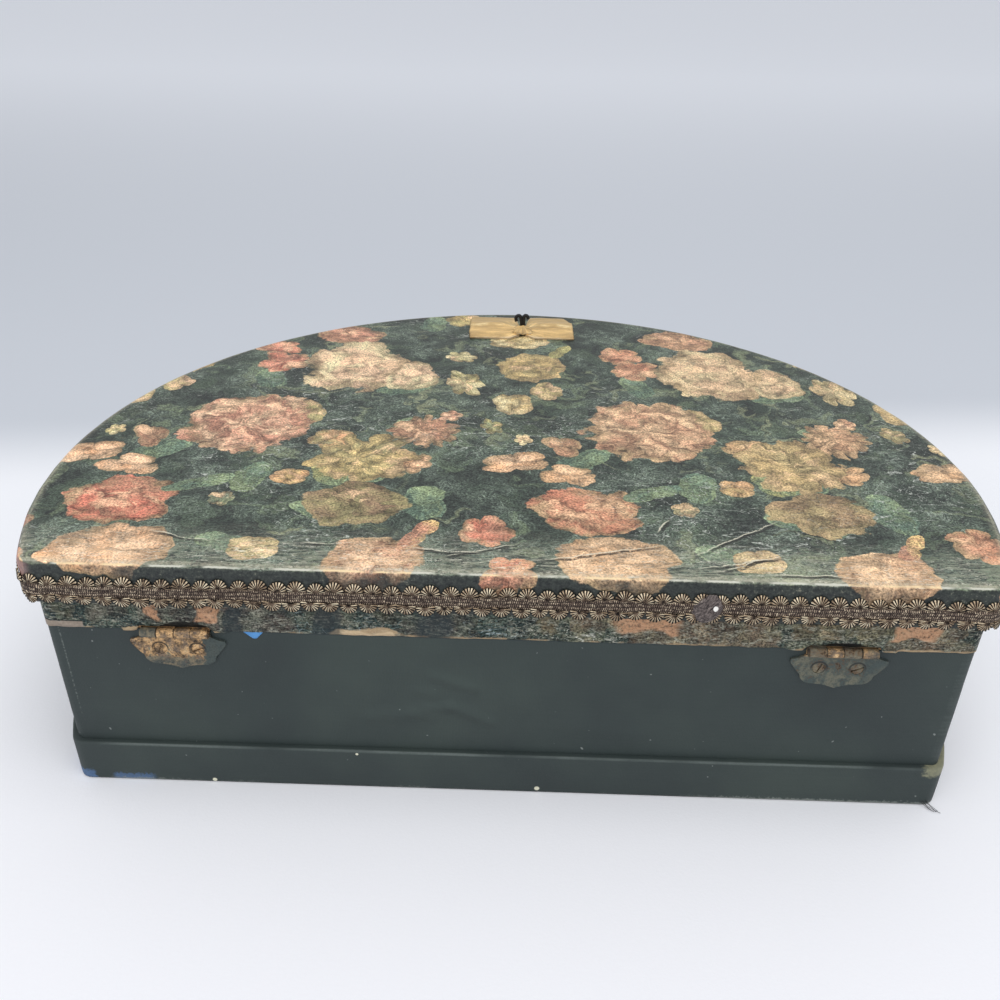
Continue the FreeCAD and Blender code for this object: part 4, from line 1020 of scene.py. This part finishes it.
def make_gimp_braid(thread, weave):
    length = outline_length(BRAID_OUT)
    count = round(length / FAN_PITCH)

    def lay(share, across):
        low, high = BRAID_BOTTOM + WEAVE_MARGIN, BRAID_BOTTOM + BRAID_HEIGHT - WEAVE_MARGIN
        height = low + (high - low) * across
        height += 0.0002 * ripple(share * length, 0, 0, 0.006, across * 3)
        swell = math.sin(math.pi * across) ** 0.5
        cord_rows = 0.00006 * math.cos(across * math.pi * 6)
        nub = 0.00007 * math.sin(share * count * math.pi * 6 + across * 9)
        point, _ = on_outline(share, SLAB_OUT + 0.00012 + 0.00048 * swell + cord_rows + nub)
        return (Vector((point.x, point.y, height)),
                Vector((share * length, height - BRAID_BOTTOM)), 0.0)

    body = finish_piece("gimp_braid_weave", skin(count * 6, 12, lay), weave, "lid",
                        "gimp_braid")
    thicken(body, 0.0001)

    mould = mesh_from("mould", fan_of_threads())
    bm = bmesh.new()
    dice = random.Random(11)
    for hub, way, slide in ((BRAID_HEIGHT - FAN_REACH, 1, 0.0), (FAN_REACH, -1, 0.3)):
        for index in range(count):
            start = len(bm.verts)
            bm.from_mesh(mould)
            bm.verts.ensure_lookup_table()
            fan = bm.verts[start:]
            size, lean = dice.uniform(0.93, 1.05), dice.uniform(-0.14, 0.14)
            droop, slip = dice.uniform(-0.0003, 0.0003), dice.uniform(-0.0004, 0.0004)
            for vert in fan:
                x, y, proud = vert.co
                x, y = (size * (x * math.cos(lean) - y * math.sin(lean)),
                        size * (y * math.cos(lean) + x * math.sin(lean)))
                share = (index + slide) / count + (x + slip) / length
                tilt = 0.00035 * max(y / FAN_REACH, 0)
                point, _ = on_outline(share, SLAB_OUT + 0.00046 + proud - tilt)
                vert.co = (point.x, point.y, BRAID_BOTTOM + hub + way * (y + droop))
    bpy.data.meshes.remove(mould)
    bmesh.ops.recalc_face_normals(bm, faces=bm.faces)
    thicken(finish_piece("gimp_braid_fans", bm, thread, "lid"), 0.0002)


def make_braid_end(weave):
    """The braid's end, doubled under, knotted and lapped over its start."""
    def lay(across, up):
        side = across * 2 - 1
        half = 0.0030 + 0.0020 * math.sin(math.pi * min(max(1.06 - up, 0.0), 1.0)) ** 0.6
        half += 0.0005 * ripple(side, up, 0, 0.16, 2.2) - 0.0008 * smooth(up * 2 - 1)
        x = BRAID_END - 0.0014 * up - half * side
        round_end = 0.0014 * side * side
        z = BRAID_BOTTOM + 0.0004 + round_end + (BRAID_HEIGHT - 0.0006 - 2 * round_end) * up
        z += 0.0004 * ripple(across, 0, up, 0.2, 8.0)
        rim = smooth(min(across, 1 - across) * 6) * smooth(min(up, 1 - up) * 7)
        knot = math.exp(-((across - 0.62) / 0.28) ** 2 - ((up - 0.36) / 0.26) ** 2)
        tuck = math.exp(-((across - 0.36 + (up - 0.6) * 0.5) / 0.13) ** 2)
        folds = ripple(across + up * 0.6, up, 0, 0.13, 1.7)
        proud = 0.0001 + rim * (0.0007 + 0.0009 * knot + 0.0005 * tuck + 0.00022 * folds)
        return (Vector((x, BACK + SLAB_OUT + 0.0004 + proud, z)),
                Vector((x * 0.8 + z * 0.7, z * 0.8 - x * 0.7)), 0.0)

    piece = finish_piece("braid_end_knot", skin(34, 34, lay, closed=False), weave, "lid",
                         "braid_end")
    thicken(piece, 0.0003)


# ---- brass, ribbon, wire ----------------------------------------------------------------


def old_brass(name, paint):
    """Tarnished brass, partly under green paint and with painted shade in its crevices; paint
    gives how much, from the place on it.
    """
    finish = Finish(name, 0.5)
    place = finish.place()
    across, _, height = finish.parts(place)
    age = finish.cloud(place, 330, 4.0, 0.7)
    fine = finish.cloud(place, 1500, 4.0, 0.7)
    brass = finish.ramp(age * 0.7 + fine * 0.3, (0.36, (62, 52, 42)), (0.46, (126, 104, 78)),
                        (0.54, (188, 152, 108)), (0.64, (232, 198, 150)))
    grime = finish.cloud(place, 260, 4.0, 0.75).step(0.48, 0.60)
    brass = finish.stain(brass, grime * 0.7, (92, 82, 74))
    cover, crevice_shade, cloth = paint(across, height, age, fine)
    colour = finish.stain(brass, cover, (56, 68, 66), (96, 96, 82), age.step(0.40, 0.62))
    colour = finish.stain(colour, cloth, (58, 68, 66))
    colour = finish.stain(colour, crevice_shade, (30, 30, 27))
    colour = finish.light((fine * 3.0 - 0.50).clamp() * 1.1 + 0.05, colour)
    bare = (1.0 - cover) * (1.0 - grime * 0.6)
    return finish.surface(colour, 0.42 + fine * 0.2 + cover * 0.18, age * 0.7 + fine * 0.6,
                          0.00022, bare * 0.6)


SCREW_HEIGHT, SCREW_ASIDE, SCREW_RADIUS = 0.0596, 0.0062, 0.0021
BARREL_FOOT = 0.0645
KNUCKLE_GAPS = (-0.00564, 0.0, 0.00564)


def hinge_finish(side):
    """The base leaf: painted over towards its foot and towards the photograph's right."""
    centre = side * HINGE_PLACE
    bare = 0.62 if side > 0 else 0.34

    def paint(across, height, age, fine):
        lobe = (centre - across - 0.0080 + (age - 0.5) * 0.008).step(-0.0003, 0.0005)
        foot = (0.0562 - height + (age - 0.5) * 0.012).step(-0.0006, 0.0006)
        cover = (lobe + foot * 0.8 + (age + (fine - 0.5) * 0.7).step(bare, bare + 0.1)).clamp()
        barrel = height.step(BARREL_FOOT - 0.0005, BARREL_FOOT + 0.0005)
        first = across.step(HINGE_PLACE + 0.0055, HINGE_PLACE + 0.0058) if side > 0 else 0.1
        cover = cover * (1.0 - barrel) + barrel * first * 0.85
        # Painted shade: dark lines along the barrel's foot and in the gaps between knuckles.
        crevice_shade = abs(height - 0.0651).step(0.0004, 0.0001) * 0.8
        for gap in KNUCKLE_GAPS:
            crevice_shade = crevice_shade + barrel * abs(across - (centre + gap)).step(0.00042, 0.00015)
        # Painted shadow in the upper half of each screw's countersink.
        for offset in (-SCREW_ASIDE, SCREW_ASIDE):
            x, z = across - (centre + offset), height - SCREW_HEIGHT
            ring_shadow = abs((x * x + z * z) ** 0.5 - SCREW_RADIUS * 1.24).step(0.0005, 0.0001)
            crevice_shade = crevice_shade + ring_shadow * z.step(-0.0022, 0.0014)
        return cover, (crevice_shade * 0.9).clamp(), lobe * (0.85 if side > 0 else 0.5)
    return old_brass(("left" if side > 0 else "right") + "_hinge_brass", paint)


def dulled_brass(name, dulled):
    return old_brass(name, lambda across, height, age, fine: (
        (age + (fine - 0.5) * 0.6).step(0.66 - dulled * 0.4, 0.80 - dulled * 0.4) * 0.85,
        0.0, 0.0))


def slotted_head(turn):
    """The low domed head of a countersunk screw, with its slot, facing up."""
    bm = bmesh.new()
    bm.loops.layers.uv.new("sheet")
    profile = [bm.verts.new(spot) for spot in (
        (0, 0, 0.00052), (0.0012, 0, 0.00048), (0.0019, 0, 0.00036), (0.0021, 0, 0.00020),
        (0.0021, 0, 0))]
    edges = [bm.edges.new(pair) for pair in zip(profile, profile[1:])]
    bmesh.ops.spin(bm, geom=profile + edges, cent=(0, 0, 0), axis=(0, 0, 1),
                   angle=2 * math.pi, steps=36, use_merge=True)
    bmesh.ops.remove_doubles(bm, verts=bm.verts, dist=1e-6)
    for level in (-0.0003, -0.00027, 0.00027, 0.0003):
        bmesh.ops.bisect_plane(bm, geom=bm.verts[:] + bm.edges[:] + bm.faces[:],
                               plane_co=(0, level, 0), plane_no=(0, 1, 0))
    for vert in bm.verts:
        if abs(vert.co.y) < 0.00028:
            vert.co.z = min(vert.co.z, 0.00002)
    bmesh.ops.rotate(bm, verts=bm.verts, cent=(0, 0, 0),
                     matrix=Matrix.Rotation(math.radians(turn), 3, "Z"))
    bmesh.ops.rotate(bm, verts=bm.verts, cent=(0, 0, 0),
                     matrix=Matrix.Rotation(math.radians(-90), 3, "X"))
    bmesh.ops.recalc_face_normals(bm, faces=bm.faces)
    return bm


def make_screws(brasses):
    """Slotted countersunk screws in the base leaves."""
    for side, label in ((1, "left"), (-1, "right")):
        pair = bmesh.new()
        for offset, turn in ((-SCREW_ASIDE, 25.0), (SCREW_ASIDE, 70.0)):
            head = slotted_head(turn)
            bmesh.ops.translate(head, verts=head.verts,
                                vec=(side * HINGE_PLACE + offset, 0.06745, SCREW_HEIGHT))
            mesh = mesh_from("head", head)
            pair.from_mesh(mesh)
            bpy.data.meshes.remove(mesh)
        finish_piece(f"{label}_leaf_screw_heads", pair, brasses[side], "base",
                     f"{label}_hinge_base_screws", 30)


def gold_ribbon(name):
    """Old gold satin ribbon with faint crossways ribs, painted shade on its far half and painted
    highlights along its middle fold and round the knot.
    """
    finish = Finish(name, 0.6)
    sheet = finish.sheet()
    ribs = finish.ribs(sheet, "Y", 420.0, 2.0, 2.0)
    tone = finish.strokes(sheet, (50, 150, 1), 0.0, 3.0, 0.6)
    fine = finish.cloud(sheet, 1400, 2.0)
    colour = finish.ramp(tone + (ribs - 0.5) * 0.12, (0.3, (176, 142, 92)),
                         (0.46, (212, 178, 118)), (0.58, (244, 202, 132)),
                         (0.70, (255, 226, 160)))
    _, across, _ = finish.parts(sheet)
    # Painted shade: the far half of the ribbon darker and greyer.
    colour = finish.stain(colour, across.step(0.002, -0.003) * 0.6, (178, 154, 108))
    # Painted highlight: a bright line along the middle fold.
    fold = abs(across - 0.0004 + (tone - 0.5) * 0.004).step(0.0014, 0.0002)
    colour = finish.stain(colour, fold * tone.step(0.42, 0.56) * 0.6, (255, 236, 184))
    # Painted highlights round the knot: lighter and darker rays, and bright glints close to it.
    x, y, _ = finish.parts(finish.place())
    x, y = x - KNOT_X, y - KNOT_Y
    away = (x * x + y * y) ** 0.5
    angle = y.work("ARCTAN2", y, x)
    ray_highlights = finish.cloud(finish.joined(angle * 4.0, away * 50.0), 1.0, 3.0, 0.6)
    colour = finish.light(1.0 + (ray_highlights - 0.5) * away.step(0.022, 0.006) * 2.2, colour)
    glint = ray_highlights.step(0.50, 0.62) * away.step(0.015, 0.009) * away.step(0.003, 0.006)
    colour = finish.stain(colour, glint * 0.6, (255, 214, 142))
    worn = (abs(across) + (tone - 0.5) * 0.008).step(0.0106, 0.0122)
    colour = finish.stain(colour, worn * 0.55, (228, 216, 190))
    colour = finish.light(0.66 + fine * 0.46, colour)
    return finish.surface(colour, 0.42 + fine * 0.2, ribs * 0.6 + fine * 0.4, 0.00006, tone * 0.15)


BOW_Y, KNOT_X, KNOT_Y = -0.1436, -0.0022, -0.1388


def ribbon_loop(name, node, side, reach, depths, ribbon):
    """A flattened loop that opens quickly from the knot and lies in a few long pleats.

    depths are how far its far and near edges lie from the bow's middle at the fold.
    """
    def lay(along, across):
        run = 1 - abs(2 * along - 1)
        over = along < 0.5
        across = across * 2 - 1
        wide = depths[0] if across < 0 else depths[1]
        opened = smooth(run * (11.0 if across < 0 else 5.0) + 0.08)
        corner = max(-across - 0.35, 0.0) if side < 0 else 0.25 * max(across - 0.5, 0.0)
        length = reach * (1 - 0.27 * corner + 0.012 * ripple(across, side, 0, 0.3, 4.1))
        x = KNOT_X + side * (0.0014 + (length + 0.0016) * (1 - (1 - run) ** 1.25))
        y = KNOT_Y + (BOW_Y - KNOT_Y) * opened + across * wide * (0.34 + 0.66 * opened)
        pleats = math.cos(across * 6.2 + 0.9) * 0.00034 * smooth(run * 3)
        pleats -= 0.00055 * math.exp(-((across - 0.02 - 0.1 * run) / 0.09) ** 2)
        gather = math.cos(across * 12) * 0.00040 * (1 - opened)
        crumple = 0.00045 * ripple(x * 0.5, y, 0, 0.004, 3.3 + side)
        arch = max(1 - (0.5 if across < 0 else 1.0) * abs(across) ** 2.2, 0.0)
        belly = 0.0019 * arch * math.sin(math.pi * min(run * 0.55 + 0.22, 1.0)) ** 0.7
        height = (0.0006 + belly + (pleats + crumple) * arch + gather) if over else 0.0002
        if run > 0.93:
            share = (1 - run) / 0.07
            height = 0.0005 + (height - 0.0005) * math.sqrt(max(1 - (1 - share) ** 2, 0))
        height = min(max(height, 0.0004 if over else 0.0001), 0.0030)
        return (Vector((x, y, LID_TOP + height + 0.0001)),
                Vector((along * reach * 2, across * 0.012)), 0.0)

    piece = finish_piece(name, skin(44, 34, lay, closed=False), ribbon, "lid", node)
    thicken(piece, 0.00018, 0.0)


def make_bow(ribbon):
    """Two flattened loops pinched into a knot, glued to the lid."""
    ribbon_loop("bow_left_ribbon", "bow_left_loop", 1, 0.0232, (0.0130, 0.0134), ribbon)
    ribbon_loop("bow_right_ribbon", "bow_right_loop", -1, 0.0222, (0.0134, 0.0128), ribbon)

    def lay(across, round_knot):
        across = across * 2 - 1
        turn = round_knot * 2 * math.pi
        waist = 0.0040 + 0.0008 * math.cos(turn)
        pleat = 1 + 0.07 * math.cos(across * 9 + 1) + 0.05 * ripple(across, turn, 0, 0.5, 1.0)
        y = KNOT_Y + 0.0002 + math.cos(turn) * 0.0047 * (1 - 0.15 * abs(across)) * pleat
        z = 0.0019 + math.sin(turn) * 0.0017 * pleat * (1 - 0.2 * across * across)
        return (Vector((KNOT_X + across * waist, y, LID_TOP + max(z, 0.0001))),
                Vector((across * waist, round_knot * 0.0200)), 0.0)

    knot = finish_piece("bow_knot_ribbon", skin(22, 40, lay), ribbon, "lid",
                        "bow_knot")
    thicken(knot, 0.00018)


def make_tube(name, lines, radius, material, body, node=None):
    """Thin bent strands along smooth lines of points, as one piece."""
    strands = bpy.data.curves.new(name, "CURVE")
    strands.dimensions, strands.bevel_depth, strands.use_fill_caps = "3D", radius, True
    strands.bevel_resolution, strands.resolution_u = 3, 8
    for line in lines:
        strand = strands.splines.new("NURBS")
        strand.points.add(len(line) - 1)
        for point, spot in zip(strand.points, line):
            point.co = (*spot, 1.0)
        strand.order_u, strand.use_endpoint_u = 3, True
    carrier = bpy.data.objects.new(name, strands)
    bm = bmesh.new()
    bm.from_mesh(carrier.to_mesh())
    carrier.to_mesh_clear()
    bpy.data.objects.remove(carrier)
    bm.loops.layers.uv.new("sheet")
    finish_piece(name, bm, material, body, node)


def make_wire(black):
    """The short black wire behind the knot: two crooks that curl away from each other."""
    crooks = (
        ((0.0002, 0, -0.0003), (0.0004, 0, 0.0027), (0.0008, 0, 0.0064), (0.0014, 0, 0.0076),
         (0.0028, 0, 0.0074), (0.0036, -0.0002, 0.0062), (0.0030, 0, 0.0046)),
        ((-0.0008, 0, -0.0003), (-0.0006, 0, 0.0027), (-0.0004, 0, 0.0064),
         (-0.0010, 0, 0.0078), (-0.0026, 0, 0.0074), (-0.0028, 0, 0.0060)))
    make_tube("wire_crooks", [[(KNOT_X + x, BOW_Y + y, LID_TOP + z) for x, y, z in crook]
                              for crook in crooks],
              0.00085, black, "lid", "wire_stem")


def make_frayed_threads(black):
    """Threads that have come out of the cloth at the right foot of the back."""
    dice = random.Random(5)
    lines = []
    for number in range(5):
        x = -0.1468 - 0.0006 * number
        out = dice.uniform(0.0012, 0.0034)
        lines.append(((x, 0.0689, 0.0016 + dice.uniform(0, 0.001)),
                      (x - out * 0.3, 0.0696, 0.0013),
                      (x - out, 0.0700 + out * 0.5, 0.0007),
                      (x - out * dice.uniform(1.1, 1.8), 0.0706 + out * 0.7, 0.0004)))
    make_tube("frayed_threads", lines, 0.00008, black, "base")


def make_lining_slips(blue):
    """Slips of the lining that have come out over the rim."""
    bm = bmesh.new()
    bm.loops.layers.uv.new("sheet")
    for x0, x1, drop, skew in ((0.0792, 0.0856, 0.0026, 0.42), (0.1112, 0.1165, 0.0009, 0.6)):
        made = bmesh.ops.create_grid(bm, x_segments=8, y_segments=4, size=0.5)
        for vert in made["verts"]:
            across, down = vert.co.x + 0.5, 0.5 - vert.co.y
            narrow = 1 - 0.8 * down
            x = x0 + (x1 - x0) * (skew + (across - skew) * narrow)
            z = JOINT + 0.0001 - drop * down + 0.0002 * ripple(x, 0, down, 0.002, 4.0)
            vert.co = (x, BACK + 0.00022 + 0.0001 * math.sin(across * 3), z)
    piece = finish_piece("lining_slips", bm, blue, "base")
    thicken(piece, 0.00012, 0.0)


# ---- simple finishes of the boards and linings ------------------------------------------


def plain_board(name, dark, light, scale, gloss=0.8, marks=None):
    """A plain fibrous finish that runs between two chart colours."""
    finish = Finish(name, 0.25)
    place = finish.place()
    fibres = finish.strokes(place, scale, 0.0, 5.0, 0.6, 0.3)
    grain = finish.cloud(place, 700, 3.0)
    colour = finish.between((fibres * 1.6 - 0.3).clamp(), dark, light)
    if marks:
        colour = marks(finish, colour)
    return finish.surface(finish.light(0.9 + grain * 0.2, colour), gloss + (grain - 0.5) * 0.15,
                          fibres * 0.7 + grain * 0.4, 0.0001)


def dark_rim(finish, colour):
    """The lining's outer edge, made dark where it shows at the joint."""
    across, along, _ = finish.parts(finish.place())
    bow = (across * across + along * along) ** 0.5 > BOW_RADIUS - 0.0010
    outside = bow.work("MAXIMUM", bow, along > BACK - 0.0010)
    return finish.stain(colour, outside, (50, 60, 62))


BLUES = (60, 98, 144), (92, 134, 180)
EVEN = (60, 60, 60)


def dress_node(name, material):
    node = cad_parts[name]
    if not node.material_slots:
        node.data.materials.append(material)
    for slot in node.material_slots:
        slot.material = material


def dress_nodes():
    wood = plain_board("limewood", (140, 104, 70), (188, 152, 108), (12, 160, 160))
    card = plain_board("grey_pasteboard", (126, 116, 102), (160, 150, 132), (90, 90, 90))
    blue = plain_board("blue_lining_paper", *BLUES, EVEN, 0.6)
    brown = plain_board("brown_bottom_paper", (112, 92, 72), (140, 118, 92), (70, 70, 70))
    for names, material in (
            (("bottom_board", "back_wall", "lid_board", "lid_back_rail"), wood),
            (("curved_wall", "plinth_back_strip", "plinth_curved_strip", "lid_curved_rail"), card),
            (("floor_lining", "lid_top_lining", "lid_rim_lining"), blue),
            (("bottom_paper",), brown),
            (("wall_lining",), plain_board("blue_lining_turned", *BLUES, EVEN, 0.6, dark_rim))):
        for name in names:
            dress_node(name, material)


def main():
    bpy.context.scene.view_settings.view_transform = "Standard"
    set_camera()
    set_lights()
    lay_floor()
    dress_nodes()
    make_wall_cloth(bookcloth("wall_bookcloth", wall_corner_highlight))
    make_plinth_cloth(bookcloth("plinth_bookcloth", plinth_marks))
    make_lid_top_paper()
    make_band_paper()
    make_gimp_braid(gimp_thread("braid_thread"), gimp_weave("braid_weave"))
    make_braid_end(knotted_braid("braid_knot"))
    brasses = {1: dulled_brass("worn_brass", 0.1), -1: dulled_brass("dull_brass", 0.7)}
    make_screws(brasses)
    for side, label in ((1, "left"), (-1, "right")):
        dress_node(f"{label}_hinge_base_leaf", hinge_finish(side))
        for piece in ("lid_leaf", "pin", "lid_screws"):
            dress_node(f"{label}_hinge_{piece}", brasses[side])
    make_bow(gold_ribbon("gold_ribbon_weave"))
    black = plain_board("black_enamel", (18, 18, 20), (44, 43, 44), (300, 300, 300), 0.4)
    make_wire(black)
    make_frayed_threads(black)
    make_lining_slips(plain_board("blue_lining_slip", (66, 124, 186), (104, 164, 220), EVEN, 0.6))


main()
